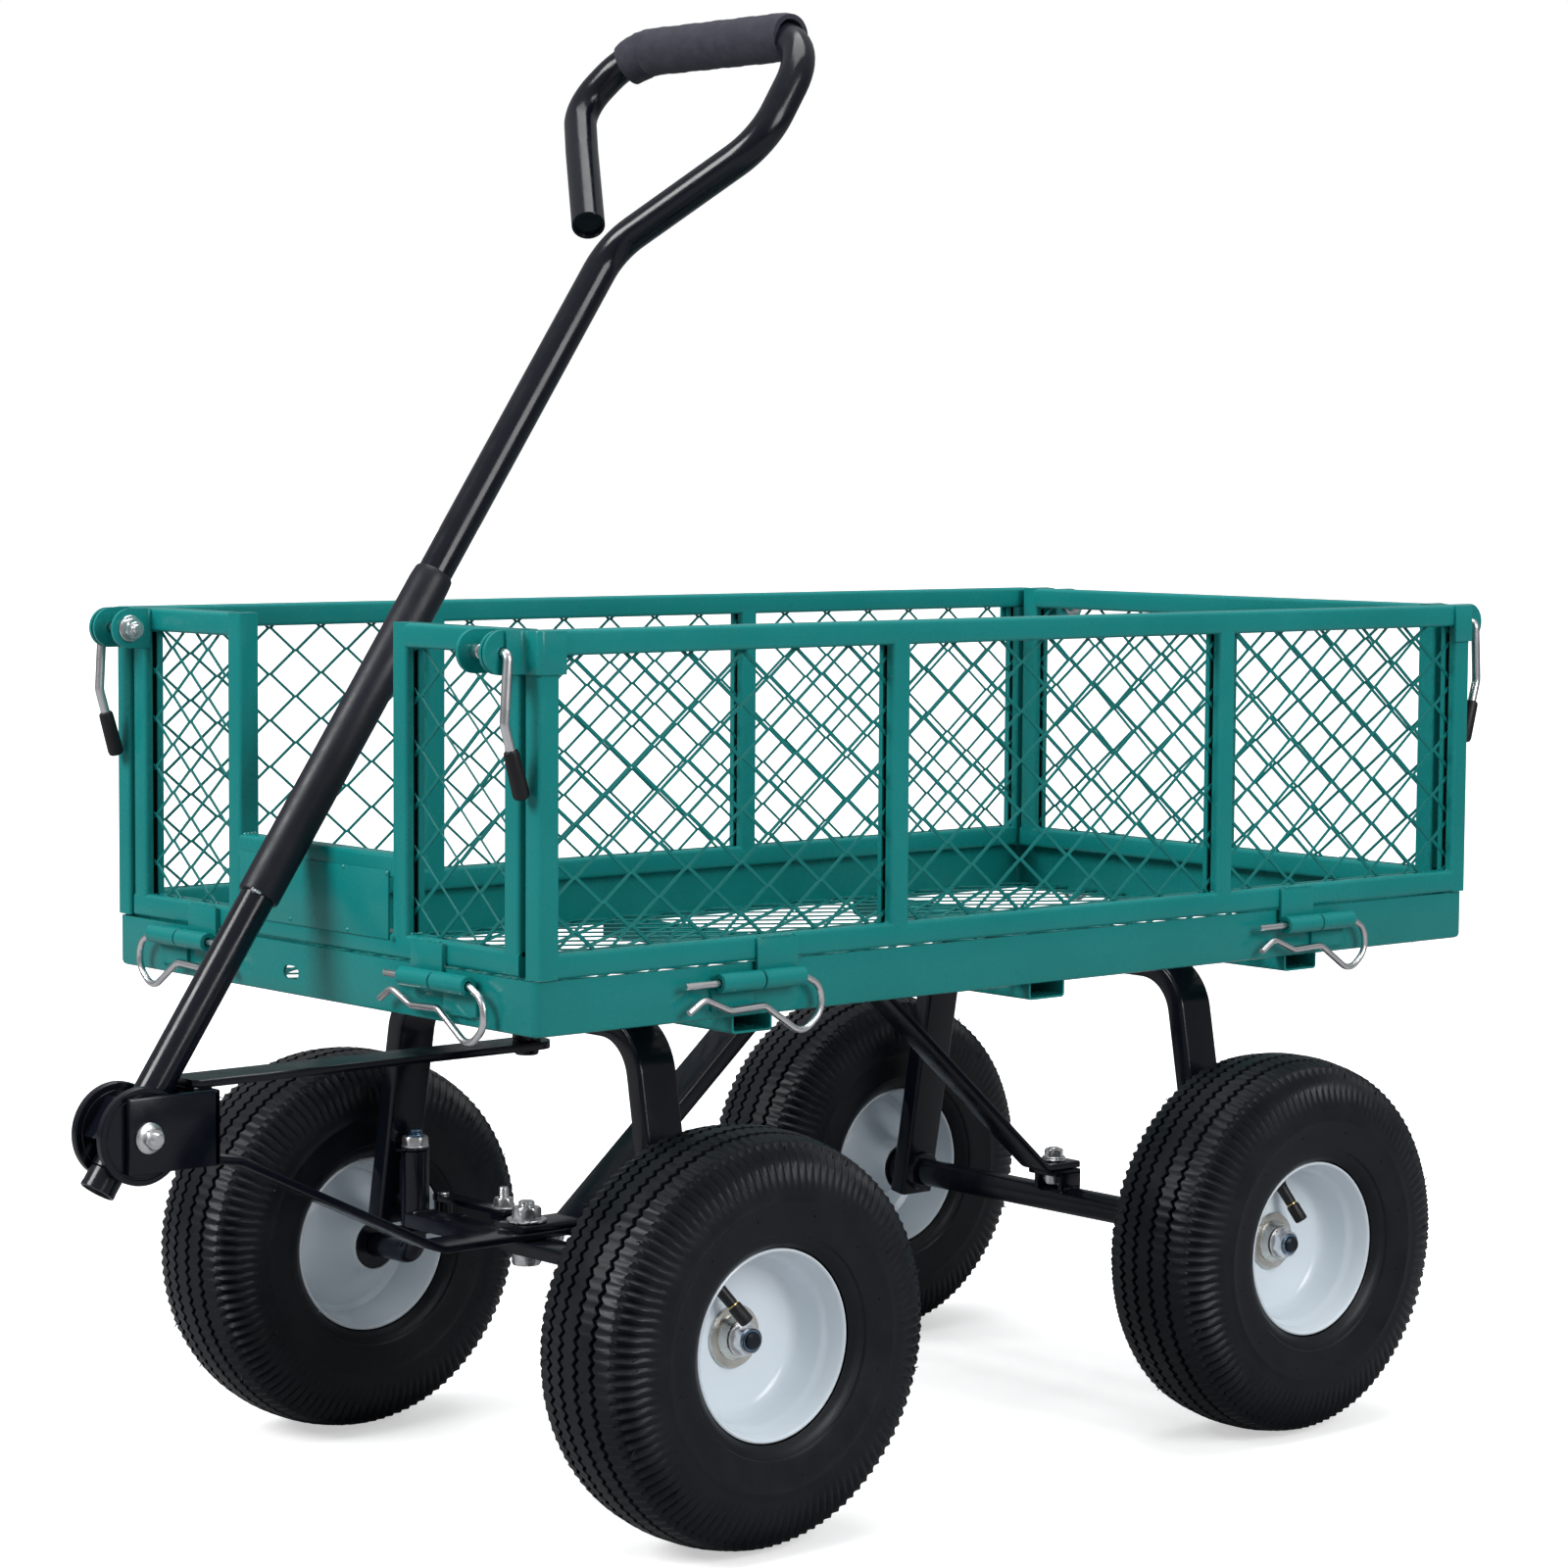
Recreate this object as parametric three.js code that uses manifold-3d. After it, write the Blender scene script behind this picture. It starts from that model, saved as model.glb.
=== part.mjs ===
// Steel mesh garden cart: tray bed on two U-shaped leg frames, four pneumatic wheels,
// fold-down mesh panels held by hairpin clips, steered by a tongue with a D-loop handle.
// Millimetres, +Z up, handle end towards -Y. The layout is drawn with y = 0 over the
// front axle and is centred on the origin at the end.
import * as THREE from 'three';
import { mergeVertices } from 'three/addons/utils/BufferGeometryUtils.js';
import Module from 'manifold-3d';

const wasm = await Module();
wasm.setup();

// ---------------------------------------------------------------- driving dimensions
const GAP = 0.4; // clearance between separate pieces

const TYRE_R = 130; // 10.2 in pneumatic tyre
const TYRE_HALF_W = 46;
const RIM_R = 59.5;
const RIM_HALF_W = 35;
const TRACK_HALF = 209; // wheel centre plane from the centre line
const REAR_AXLE_Y = 485;
const SPINDLE_R = 7.5;
const SPINDLE_END = 229.5;
const HUB_R = 13;
const HUB_OUT = 7;
const HUB_IN = 41;
const COLLAR_R = 18;

const KINGPIN_X = 123;
const SLEEVE_R = 11.5;
const SLEEVE_Z = [150, 197];

const TRAY_HALF_W = 225.5;
const TRAY_Y = [-166, 661];
const TRAY_Z = [329, 361.7];
const SHEET = 2;
const FLANGE = 14;
const CROSS_TUBE_Y = [3, 253, 496];
const CROSS_TUBE_W = 32;
const CROSS_TUBE_Z = [318, 331];
const CROSS_TUBE_X = 220;

const TUBE = 15; // square tube of the panels
const WALL = 1.4;
const PANEL_Z = [362.7, 565];
const SIDE_OUT = 228;
const SIDE_Y = [-165, 660];
const LEFT_POSTS_Y = [117, 411];
const RIGHT_POSTS_Y = [84, 369];
const END_HALF_W = 208;
const NOTCH_POST_X = [82, 97];
const NOTCH_Z = [410.2, 425.2];
const SLOT = 3.8; // slit down the middle of a tube, for the mesh
const SLOT_IN = 5;
const MESH_IN = 4; // how far a sheet's edge runs into the slit

const PIN_R = 6; // hinge barrel
const PIN_BORE = 2.9;
const PIN_HALF = 33;
const SIDE_PIN_X = 234;
const SIDE_PIN_Z = 352;
const SIDE_PIN_Y = [-2, 498];
const END_PIN_OFF = 8; // barrel axis outside the tray's end skirt
const END_PIN_Z = 355;
const END_PIN_X = 138.5;
const WIRE_R = 2.25; // hairpin clip
const LEAF = 2.5;

const LEG_W = 30;
const LEG_T = 15;
const LEG_TOP_Z = 310.2;
const LEG_FOOT_X = 154.8; // leg centre line at axle height
const LEG_LEAN = 0.18; // sideways run per unit of height

const HANDLE_LEAN = 34.2; // degrees back from upright when parked
const PIVOT_Y = -299;
const PIVOT_Z = 259;
const HANDLE_R = 11;
const GRIP_R = 16.3;
const CHEEK_R = 30;
const CHEEK_X = [11.4, 17.1];
const CLEVIS_X = [17.5, 22];
const CLEVIS_Y = [-312, -248];
const CLEVIS_Z = [237, 283.6];

const TIE_X = 20; // tongue pin and knuckle arm offset, equal so the rods stay parallel
const TIE_Y = 38;
const TIE_Z = [155.6, 159.8];
const TONGUE_Z = [160.4, 165.4];
const ARM_Z = [144.7, 149.4];

const LATCH_Z = 552;
const LATCH_OFF = 16; // lever axis beyond the panel's face
const LEVER_R = 3;
const LEVER_X = 219; // the hanging part of the lever
const EAR_R = 12.8;
const EAR_X = 185.4; // inner ear of the end panel's latch

// ---------------------------------------------------------------- materials
function finish(color, roughness, metalness) {
  return () => new THREE.MeshStandardMaterial({ color, roughness, metalness });
}
const GREEN = finish(0x2f8f8a, 0.35, 0.1);
const BLACK = finish(0x17181d, 0.35, 0.2);
const ZINC = finish(0xc9ccd2, 0.3, 0.9);
const RUBBER = finish(0x1c1d20, 0.85, 0);
const FOAM = finish(0x46464c, 0.9, 0);
const RIM = finish(0xb9cbd8, 0.35, 0.1);

// ---------------------------------------------------------------- solid helpers
function solid(geometry) {
  const bare = geometry.clone();
  bare.deleteAttribute('normal');
  bare.deleteAttribute('uv');
  const merged = mergeVertices(bare, 1e-4);
  return new wasm.Manifold(new wasm.Mesh({
    numProp: 3,
    vertProperties: new Float32Array(merged.attributes.position.array),
    triVerts: new Uint32Array(merged.index.array),
  }));
}

function geometryOf(manifold) {
  const mesh = manifold.getMesh();
  const indexed = new THREE.BufferGeometry();
  indexed.setAttribute('position', new THREE.BufferAttribute(mesh.vertProperties, mesh.numProp));
  indexed.setIndex(new THREE.BufferAttribute(mesh.triVerts, 1));
  const flat = indexed.toNonIndexed();
  flat.computeVertexNormals();
  return flat;
}

function union(parts) {
  return parts.reduce((sum, part) => sum.add(part));
}

function box(x, y, z) {
  const g = new THREE.BoxGeometry(
    Math.abs(x[1] - x[0]), Math.abs(y[1] - y[0]), Math.abs(z[1] - z[0]));
  g.translate((x[0] + x[1]) / 2, (y[0] + y[1]) / 2, (z[0] + z[1]) / 2);
  return solid(g);
}

// Round bar along one axis, from a to b; at gives the other two coordinates in order.
function rod(axis, r, a, b, at, sides = 12) {
  const g = new THREE.CylinderGeometry(r, r, Math.abs(b - a), sides);
  const mid = (a + b) / 2;
  if (axis === 'x') {
    g.rotateZ(Math.PI / 2);
    g.translate(mid, at[0], at[1]);
  } else if (axis === 'y') {
    g.translate(at[0], mid, at[1]);
  } else {
    g.rotateX(Math.PI / 2);
    g.translate(at[0], at[1], mid);
  }
  return solid(g);
}

// A flat path through listed points, sampled exactly at those points; side is the
// direction square to the plane it bends in.
class Route extends THREE.Curve {
  constructor(points, side) {
    super();
    this.points = points;
    this.side = side;
  }

  computeFrenetFrames(segments) {
    const tangents = [];
    for (let i = 0; i <= segments; i += 1) tangents.push(this.getTangentAt(i / segments));
    return {
      tangents,
      normals: tangents.map(() => this.side.clone()),
      binormals: tangents.map((t) => t.clone().cross(this.side).normalize()),
    };
  }

  getPoint(t) {
    const last = this.points.length - 1;
    return this.points[Math.min(last, Math.round(t * last))].clone();
  }

  getPointAt(u) {
    return this.getPoint(u);
  }

  getTangentAt(u, target = new THREE.Vector3()) {
    const last = this.points.length - 1;
    const i = Math.min(last, Math.round(u * last));
    const before = this.points[Math.max(0, i - 1)];
    const after = this.points[Math.min(last, i + 1)];
    const here = this.points[i];
    const into = here.clone().sub(before).normalize();
    const out = after.clone().sub(here).normalize();
    return target.copy(into).add(out).normalize();
  }
}

// Corner points rounded to arcs of the given radius.
function rounded(corners, radius, steps = 4) {
  const points = [corners[0].clone()];
  for (let i = 1; i < corners.length - 1; i += 1) {
    const toPrev = corners[i - 1].clone().sub(corners[i]);
    const toNext = corners[i + 1].clone().sub(corners[i]);
    const turn = Math.PI - toPrev.angleTo(toNext);
    const room = 0.48 * Math.min(toPrev.length(), toNext.length());
    const reach = Math.min(radius * Math.tan(turn / 2), room);
    const a = corners[i].clone().add(toPrev.setLength(reach));
    const b = corners[i].clone().add(toNext.setLength(reach));
    const arc = new THREE.QuadraticBezierCurve3(a, corners[i], b);
    points.push(...arc.getPoints(steps));
  }
  points.push(corners[corners.length - 1].clone());
  return points;
}

const X_AXIS = new THREE.Vector3(1, 0, 0);
const Y_AXIS = new THREE.Vector3(0, 1, 0);
const Z_AXIS = new THREE.Vector3(0, 0, 1);

function sweep(points, shape, side = X_AXIS) {
  return solid(new THREE.ExtrudeGeometry(shape, {
    steps: points.length - 1,
    extrudePath: new Route(points, side),
    curveSegments: 1,
  }));
}

function roundShape(r, sides) {
  const points = [];
  for (let i = 0; i < sides; i += 1) {
    const a = (2 * Math.PI * (i + 0.5)) / sides;
    points.push(new THREE.Vector2(r * Math.cos(a), r * Math.sin(a)));
  }
  return new THREE.Shape(points);
}

// Rectangle: w across the bend plane, t within it.
function flatShape(w, t) {
  return new THREE.Shape([
    new THREE.Vector2(-w / 2, -t / 2), new THREE.Vector2(w / 2, -t / 2),
    new THREE.Vector2(w / 2, t / 2), new THREE.Vector2(-w / 2, t / 2),
  ]);
}

const V = (x, y, z) => new THREE.Vector3(x, y, z);

// Points continued a little past both ends, for clean bores.
function overrun(points, extra) {
  const head = points[0].clone().sub(points[1]).setLength(extra).add(points[0]);
  const n = points.length;
  const tail = points[n - 1].clone().sub(points[n - 2]).setLength(extra).add(points[n - 1]);
  return [head, ...points.slice(1, n - 1), tail];
}

// Ring of revolution about an X-direction axis; profile pairs are [radius, x].
function turned(profile, sides) {
  const loop = profile.map(([r, x]) => new THREE.Vector2(r, x));
  loop.push(loop[0].clone());
  const g = new THREE.LatheGeometry(loop, sides);
  g.rotateZ(-Math.PI / 2);
  const made = solid(g);
  return made;
}

function moved(manifold, offset) {
  const g = geometryOf(manifold);
  g.translate(offset.x, offset.y, offset.z);
  return solid(g);
}

// Mirror image across the centre plane x = 0 or the plane y = about.
function mirrored(manifold, axis, about = 0) {
  const g = geometryOf(manifold);
  const p = g.attributes.position;
  for (let i = 0; i < p.count; i += 1) {
    if (axis === 'x') p.setX(i, -p.getX(i));
    else p.setY(i, 2 * about - p.getY(i));
  }
  for (let i = 0; i < p.count; i += 3) {
    const x = p.getX(i + 1);
    const y = p.getY(i + 1);
    const z = p.getZ(i + 1);
    p.setXYZ(i + 1, p.getX(i + 2), p.getY(i + 2), p.getZ(i + 2));
    p.setXYZ(i + 2, x, y, z);
  }
  return solid(g);
}

// ---------------------------------------------------------------- the cart group
const cart = new THREE.Group();

function add(name, manifold, material) {
  const mesh = new THREE.Mesh(geometryOf(manifold), material());
  mesh.name = name;
  cart.add(mesh);
}

// ---------------------------------------------------------------- expanded mesh sheets
function clip(polygon, inside, cross) {
  const out = [];
  polygon.forEach((p, i) => {
    const q = polygon[(i + 1) % polygon.length];
    if (inside(p)) out.push(p);
    if (inside(p) !== inside(q)) out.push(cross(p, q));
  });
  return out;
}

function clipToRect(polygon, u0, u1, v0, v1) {
  const at = (p, q, key, value) => {
    const t = (value - p[key]) / (q[key] - p[key]);
    return { u: p.u + t * (q.u - p.u), v: p.v + t * (q.v - p.v) };
  };
  let out = clip(polygon, (p) => p.u >= u0, (p, q) => at(p, q, 'u', u0));
  out = clip(out, (p) => p.u <= u1, (p, q) => at(p, q, 'u', u1));
  out = clip(out, (p) => p.v >= v0, (p, q) => at(p, q, 'v', v0));
  out = clip(out, (p) => p.v <= v1, (p, q) => at(p, q, 'v', v1));
  return out.filter((p, i) => {
    const q = out[(i + 1) % out.length];
    return Math.hypot(p.u - q.u, p.v - q.v) > 0.01;
  });
}

function area(polygon) {
  return Math.abs(polygon.reduce((sum, p, i) => {
    const q = polygon[(i + 1) % polygon.length];
    return sum + p.u * q.v - q.u * p.v;
  }, 0)) / 2;
}

// Diamond lattice of width w and height h, thickness t, lying in the XY plane.
function lattice(w, h, t, nu, nv, strand, edge) {
  let sheet = box([0, w], [0, h], [0, t]);
  const du = w / nu;
  const dv = h / nv;
  const inscribed = (du / 2) * (dv / 2) / Math.hypot(du / 2, dv / 2);
  const shrink = (inscribed - strand / 2) / inscribed;
  for (let i = 0; i <= 2 * nu; i += 1) {
    for (let j = i % 2; j <= 2 * nv; j += 2) {
      const cu = i * du / 2;
      const cv = j * dv / 2;
      const hu = shrink * du / 2;
      const hv = shrink * dv / 2;
      const diamond = [
        { u: cu - hu, v: cv }, { u: cu, v: cv - hv }, { u: cu + hu, v: cv }, { u: cu, v: cv + hv },
      ];
      const hole = clipToRect(diamond, edge, w - edge, edge, h - edge);
      if (hole.length >= 3 && area(hole) > 60) {
        const outline = new THREE.Shape(hole.map((p) => new THREE.Vector2(p.u, p.v)));
        const cutter = new THREE.ExtrudeGeometry(outline, { depth: t + 2, bevelEnabled: false });
        cutter.translate(0, 0, -1);
        sheet = sheet.subtract(solid(cutter));
      }
    }
  }
  return geometryOf(sheet);
}

// Sheet standing in a plane of constant x, from y[0] to y[1] and z[0] to z[1].
function sideSheet(x, y, z, nu, nv) {
  const g = lattice(y[1] - y[0], z[1] - z[0], SHEET, nu, nv, 3, 3);
  g.rotateX(Math.PI / 2);
  g.rotateZ(Math.PI / 2);
  g.computeBoundingBox();
  g.translate(x - g.boundingBox.min.x, y[0] - g.boundingBox.min.y, z[0] - g.boundingBox.min.z);
  return solid(g);
}

function endSheet(x, y, z, nu, nv) {
  const g = lattice(x[1] - x[0], z[1] - z[0], SHEET, nu, nv, 3, 3);
  g.rotateX(Math.PI / 2);
  g.computeBoundingBox();
  g.translate(x[0] - g.boundingBox.min.x, y - g.boundingBox.min.y, z[0] - g.boundingBox.min.z);
  return solid(g);
}

function floorSheet(x, y, z, nu, nv) {
  const g = lattice(x[1] - x[0], y[1] - y[0], SHEET, nu, nv, 3.4, 3);
  g.translate(x[0], y[0], z);
  return solid(g);
}

// ---------------------------------------------------------------- hinge barrels
// Barrel and leaf on the tray's side skirt, spanning y.
function sideTrayKnuckle(y) {
  return box([TRAY_HALF_W - 0.6, TRAY_HALF_W + 3.5], y, [333, SIDE_PIN_Z - 1])
    .add(rod('y', PIN_R, y[0], y[1], [SIDE_PIN_X, SIDE_PIN_Z]))
    .add(box([TRAY_HALF_W + 0.8, SIDE_PIN_X], y, [SIDE_PIN_Z - 5.4, SIDE_PIN_Z - 2.6]))
    .subtract(rod('y', PIN_BORE, y[0] - 1, y[1] + 1, [SIDE_PIN_X, SIDE_PIN_Z]));
}

function sidePanelKnuckle(y) {
  return box([SIDE_OUT - 0.4, SIDE_OUT + LEAF], y, [SIDE_PIN_Z + 2, PANEL_Z[0] + TUBE - 1])
    .add(rod('y', PIN_R, y[0], y[1], [SIDE_PIN_X, SIDE_PIN_Z]))
    .subtract(rod('y', PIN_BORE, y[0] - 1, y[1] + 1, [SIDE_PIN_X, SIDE_PIN_Z]));
}

// Barrels along X on the tray's front skirt and the front panel.
const FRONT_PIN_Y = TRAY_Y[0] - END_PIN_OFF;

function endTrayKnuckle(x) {
  return box(x, [TRAY_Y[0] - 3.2, TRAY_Y[0] + 0.6], [335, END_PIN_Z - 1])
    .add(rod('x', PIN_R, x[0], x[1], [FRONT_PIN_Y, END_PIN_Z]))
    .add(box(x, [FRONT_PIN_Y, TRAY_Y[0] - 0.8], [END_PIN_Z - 5.4, END_PIN_Z - 2.6]))
    .subtract(rod('x', PIN_BORE, x[0] - 1, x[1] + 1, [FRONT_PIN_Y, END_PIN_Z]));
}

function endPanelKnuckle(x) {
  const face = SIDE_Y[0];
  return box(x, [face - 1.4 - LEAF, face - 1.4], [END_PIN_Z + 1, PANEL_Z[0] + TUBE - 1])
    .add(box(x, [face - 2, face + 1], [PANEL_Z[0] + 0.4, PANEL_Z[0] + TUBE - 1]))
    .add(rod('x', PIN_R, x[0], x[1], [FRONT_PIN_Y, END_PIN_Z]))
    .subtract(rod('x', PIN_BORE, x[0] - 1, x[1] + 1, [FRONT_PIN_Y, END_PIN_Z]));
}

const MID_GAP = 0.5; // half the slit between two barrels
const MID_Y = (TRAY_Y[0] + TRAY_Y[1]) / 2; // the tray's middle, front to back

// ---------------------------------------------------------------- bed tray
function bedTray() {
  const outer = box([-TRAY_HALF_W, TRAY_HALF_W], TRAY_Y, TRAY_Z);
  const inner = box([-TRAY_HALF_W + SHEET, TRAY_HALF_W - SHEET],
    [TRAY_Y[0] + SHEET, TRAY_Y[1] - SHEET], [TRAY_Z[0] + SHEET, TRAY_Z[1] + 1]);
  const opening = box([-TRAY_HALF_W + FLANGE, TRAY_HALF_W - FLANGE],
    [TRAY_Y[0] + FLANGE, TRAY_Y[1] - FLANGE], [TRAY_Z[0] - 1, TRAY_Z[1]]);
  let tray = outer.subtract(inner).subtract(opening);
  CROSS_TUBE_Y.forEach((y) => {
    const half = CROSS_TUBE_W / 2;
    tray = tray.add(box([-CROSS_TUBE_X, CROSS_TUBE_X], [y - half, y + half], CROSS_TUBE_Z));
  });
  CROSS_TUBE_Y.forEach((y) => {
    const half = CROSS_TUBE_W / 2 - WALL;
    tray = tray.subtract(box([-CROSS_TUBE_X - 1, CROSS_TUBE_X + 1], [y - half, y + half],
      [CROSS_TUBE_Z[0] + WALL, TRAY_Z[0] - 0.2]));
  });
  const a = SIDE_PIN_Y[0];
  const b = SIDE_PIN_Y[1];
  const side = sideTrayKnuckle([a - PIN_HALF, a - MID_GAP])
    .add(sideTrayKnuckle([b + MID_GAP, b + PIN_HALF]));
  const end = endTrayKnuckle([END_PIN_X + MID_GAP, END_PIN_X + PIN_HALF]);
  const ends = end.add(mirrored(end, 'x'));
  const drain = rod('y', 4.5, TRAY_Y[0] - 2, TRAY_Y[0] + 4, [-24.5, 343]);
  return tray.add(side).add(mirrored(side, 'x'))
    .add(ends).add(mirrored(ends, 'y', MID_Y)).subtract(drain);
}
add('bed_tray', bedTray(), GREEN);

const FLOOR_Z = TRAY_Z[0] + SHEET + GAP;
add('bed_floor_mesh', floorSheet(
  [-TRAY_HALF_W + SHEET + GAP, TRAY_HALF_W - SHEET - GAP],
  [TRAY_Y[0] + SHEET + GAP, TRAY_Y[1] - SHEET - GAP], FLOOR_Z, 3, 6), GREEN);

// ---------------------------------------------------------------- panels
// Square-tube frame members: outside solid and the channel inside it.
function member(x, y, z, along) {
  const inset = { x, y, z };
  const cut = {};
  ['x', 'y', 'z'].forEach((k) => {
    const [lo, hi] = inset[k];
    cut[k] = k === along ? [lo + WALL, hi - WALL] : [lo + WALL, hi - WALL];
  });
  return { outside: box(x, y, z), channel: box(cut.x, cut.y, cut.z) };
}

function frameOf(members) {
  const outside = union(members.map((m) => m.outside));
  const channel = union(members.map((m) => m.channel));
  return outside.subtract(channel);
}

const RAIL_LOW = [PANEL_Z[0], PANEL_Z[0] + TUBE];
const RAIL_TOP = [PANEL_Z[1] - TUBE, PANEL_Z[1]];
const SLOT_Z = [RAIL_LOW[1] - SLOT_IN, RAIL_TOP[0] + SLOT_IN];
const MESH_Z = [RAIL_LOW[1] - MESH_IN, RAIL_TOP[0] + MESH_IN];
const SIDE_MID = SIDE_OUT - TUBE / 2;
const FRONT_MID = SIDE_Y[0] + TUBE / 2;

// Posts stay open at the foot so the channel inside the frame is not sealed.
function postFoot(x, y) {
  return box([x[0] + WALL, x[1] - WALL], [y[0] + WALL, y[1] - WALL],
    [PANEL_Z[0] - 1, PANEL_Z[0] + WALL + 1]);
}

function sidePanel(posts) {
  const x = [SIDE_OUT - TUBE, SIDE_OUT];
  const ends = [[SIDE_Y[0], SIDE_Y[0] + TUBE], [SIDE_Y[1] - TUBE, SIDE_Y[1]]];
  const middles = posts.map((y) => [y - TUBE / 2, y + TUBE / 2]);
  const members = [
    member(x, SIDE_Y, RAIL_LOW, 'y'),
    member(x, SIDE_Y, RAIL_TOP, 'y'),
    ...[...ends, ...middles].map((y) => member(x, y, PANEL_Z, 'z')),
  ];
  let frame = frameOf(members);
  ends.forEach((y) => {
    frame = frame.subtract(postFoot(x, y));
  });
  frame = frame.subtract(box([SIDE_MID - SLOT / 2, SIDE_MID + SLOT / 2],
    [SIDE_Y[0] + TUBE - SLOT_IN, SIDE_Y[1] - TUBE + SLOT_IN], SLOT_Z));
  const a = SIDE_PIN_Y[0];
  const b = SIDE_PIN_Y[1];
  frame = frame.add(sidePanelKnuckle([a + MID_GAP, a + PIN_HALF]))
    .add(sidePanelKnuckle([b - PIN_HALF, b - MID_GAP]));
  const bracket = latchBracket();
  return frame.add(bracket).add(mirrored(bracket, 'y', MID_Y));
}

// Corner bracket with the pierced ear that carries the lever, front end.
function latchBracket() {
  const face = SIDE_Y[0];
  const z = [538, 566.5];
  const ear = [211.4, 213.9];
  return box([ear[0], SIDE_OUT + 2], [face - 2, face + 0.4], z)
    .add(box([SIDE_OUT - 0.4, SIDE_OUT + 2], [face - 2, face + 20], z))
    .add(box([SIDE_OUT - TUBE + 2, SIDE_OUT + 2], [face - 2, face + 12], [564.6, z[1]]))
    .add(box(ear, [face - LATCH_OFF, face - 0.2], z))
    .add(rod('x', EAR_R, ear[0], ear[1], [face - LATCH_OFF, LATCH_Z], 12))
    .subtract(rod('x', LEVER_R + GAP, ear[0] - 1, ear[1] + 1, [face - LATCH_OFF, LATCH_Z]));
}

// U-shaped bracket welded to the end panel's face, with a bolt across its inner ear.
function latchStub() {
  const face = SIDE_Y[0];
  const at = [face - LATCH_OFF, LATCH_Z];
  const inner = [EAR_X, EAR_X + 2.5];
  const outer = [END_HALF_W - 0.2, END_HALF_W + 2.2];
  const z = [LATCH_Z - EAR_R, LATCH_Z + EAR_R];
  return box([inner[0], outer[1]], [face - 2.4, face + 0.2], z)
    .add(box(inner, [at[0], face - 1], z))
    .add(rod('x', EAR_R, inner[0], inner[1], at, 12))
    .add(box(outer, [at[0], face - 1], z))
    .add(rod('x', EAR_R, outer[0], outer[1], at, 12))
    .subtract(rod('x', LEVER_R + GAP, outer[0] - 1, outer[1] + 1, at, 8))
    .add(rod('x', LEVER_R, inner[0] - 9, outer[0] - 4, at, 8))
    .add(rod('x', 7, inner[0] - 6, inner[0] + 0.5, at, 6));
}

function endPanel(postsX, extra, slots) {
  const y = [SIDE_Y[0], SIDE_Y[0] + TUBE];
  const outer = [[END_HALF_W - TUBE, END_HALF_W], [-END_HALF_W, -END_HALF_W + TUBE]];
  const members = [
    member([-END_HALF_W, END_HALF_W], y, RAIL_LOW, 'x'),
    ...[...outer, ...postsX].map((x) => member(x, y, PANEL_Z, 'z')),
    ...extra(y),
  ];
  let frame = frameOf(members);
  outer.forEach((x) => {
    frame = frame.subtract(postFoot(x, y));
  });
  slots.forEach(([x0, x1]) => {
    frame = frame.subtract(box([x0 - SLOT_IN, x1 + SLOT_IN],
      [FRONT_MID - SLOT / 2, FRONT_MID + SLOT / 2], SLOT_Z));
  });
  const half = endPanelKnuckle([END_PIN_X - PIN_HALF, END_PIN_X - MID_GAP]).add(latchStub());
  return frame.add(half).add(mirrored(half, 'x'));
}

const sideMesh = sideSheet(SIDE_MID - SHEET / 2,
  [SIDE_Y[0] + TUBE - MESH_IN, SIDE_Y[1] - TUBE + MESH_IN], MESH_Z, 7, 2);
add('side_panel_left_frame', sidePanel(LEFT_POSTS_Y), GREEN);
add('side_panel_left_mesh', sideMesh, GREEN);
add('side_panel_right_frame', mirrored(sidePanel(RIGHT_POSTS_Y), 'x'), GREEN);
add('side_panel_right_mesh', mirrored(sideMesh, 'x'), GREEN);

const BAY_OUT = END_HALF_W - TUBE;
const notchPosts = [NOTCH_POST_X, [-NOTCH_POST_X[1], -NOTCH_POST_X[0]]];
const frontFrame = endPanel(notchPosts, (y) => [
  member([NOTCH_POST_X[0], END_HALF_W], y, RAIL_TOP, 'x'),
  member([-END_HALF_W, -NOTCH_POST_X[0]], y, RAIL_TOP, 'x'),
  member([-NOTCH_POST_X[1], NOTCH_POST_X[1]], y, NOTCH_Z, 'x'),
], [[NOTCH_POST_X[1], BAY_OUT], [-BAY_OUT, -NOTCH_POST_X[1]]]);
// Plate lapped over the fronts of the notch's two rails.
const notchPlate = box([-NOTCH_POST_X[0] + 0.5, NOTCH_POST_X[0] - 2],
  [SIDE_Y[0] - 1.2, SIDE_Y[0] + 0.2], [RAIL_LOW[1] - 4.2, NOTCH_Z[0] + 5]);
add('front_panel_frame', frontFrame.add(notchPlate), GREEN);
const MESH_Y = FRONT_MID - SHEET / 2;
const frontMesh = endSheet([NOTCH_POST_X[1] - MESH_IN, BAY_OUT + MESH_IN], MESH_Y, MESH_Z, 1, 2);
add('front_panel_mesh_left', frontMesh, GREEN);
add('front_panel_mesh_right', mirrored(frontMesh, 'x'), GREEN);

const rearFrame = endPanel([[-TUBE / 2, TUBE / 2]], (y) => [
  member([-END_HALF_W, END_HALF_W], y, RAIL_TOP, 'x'),
], [[-BAY_OUT, BAY_OUT]]);
const rearMesh = endSheet([-BAY_OUT - MESH_IN, BAY_OUT + MESH_IN], MESH_Y, MESH_Z, 4, 2);
add('rear_panel_frame', mirrored(rearFrame, 'y', MID_Y), GREEN);
add('rear_panel_mesh', mirrored(rearMesh, 'y', MID_Y), GREEN);

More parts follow.
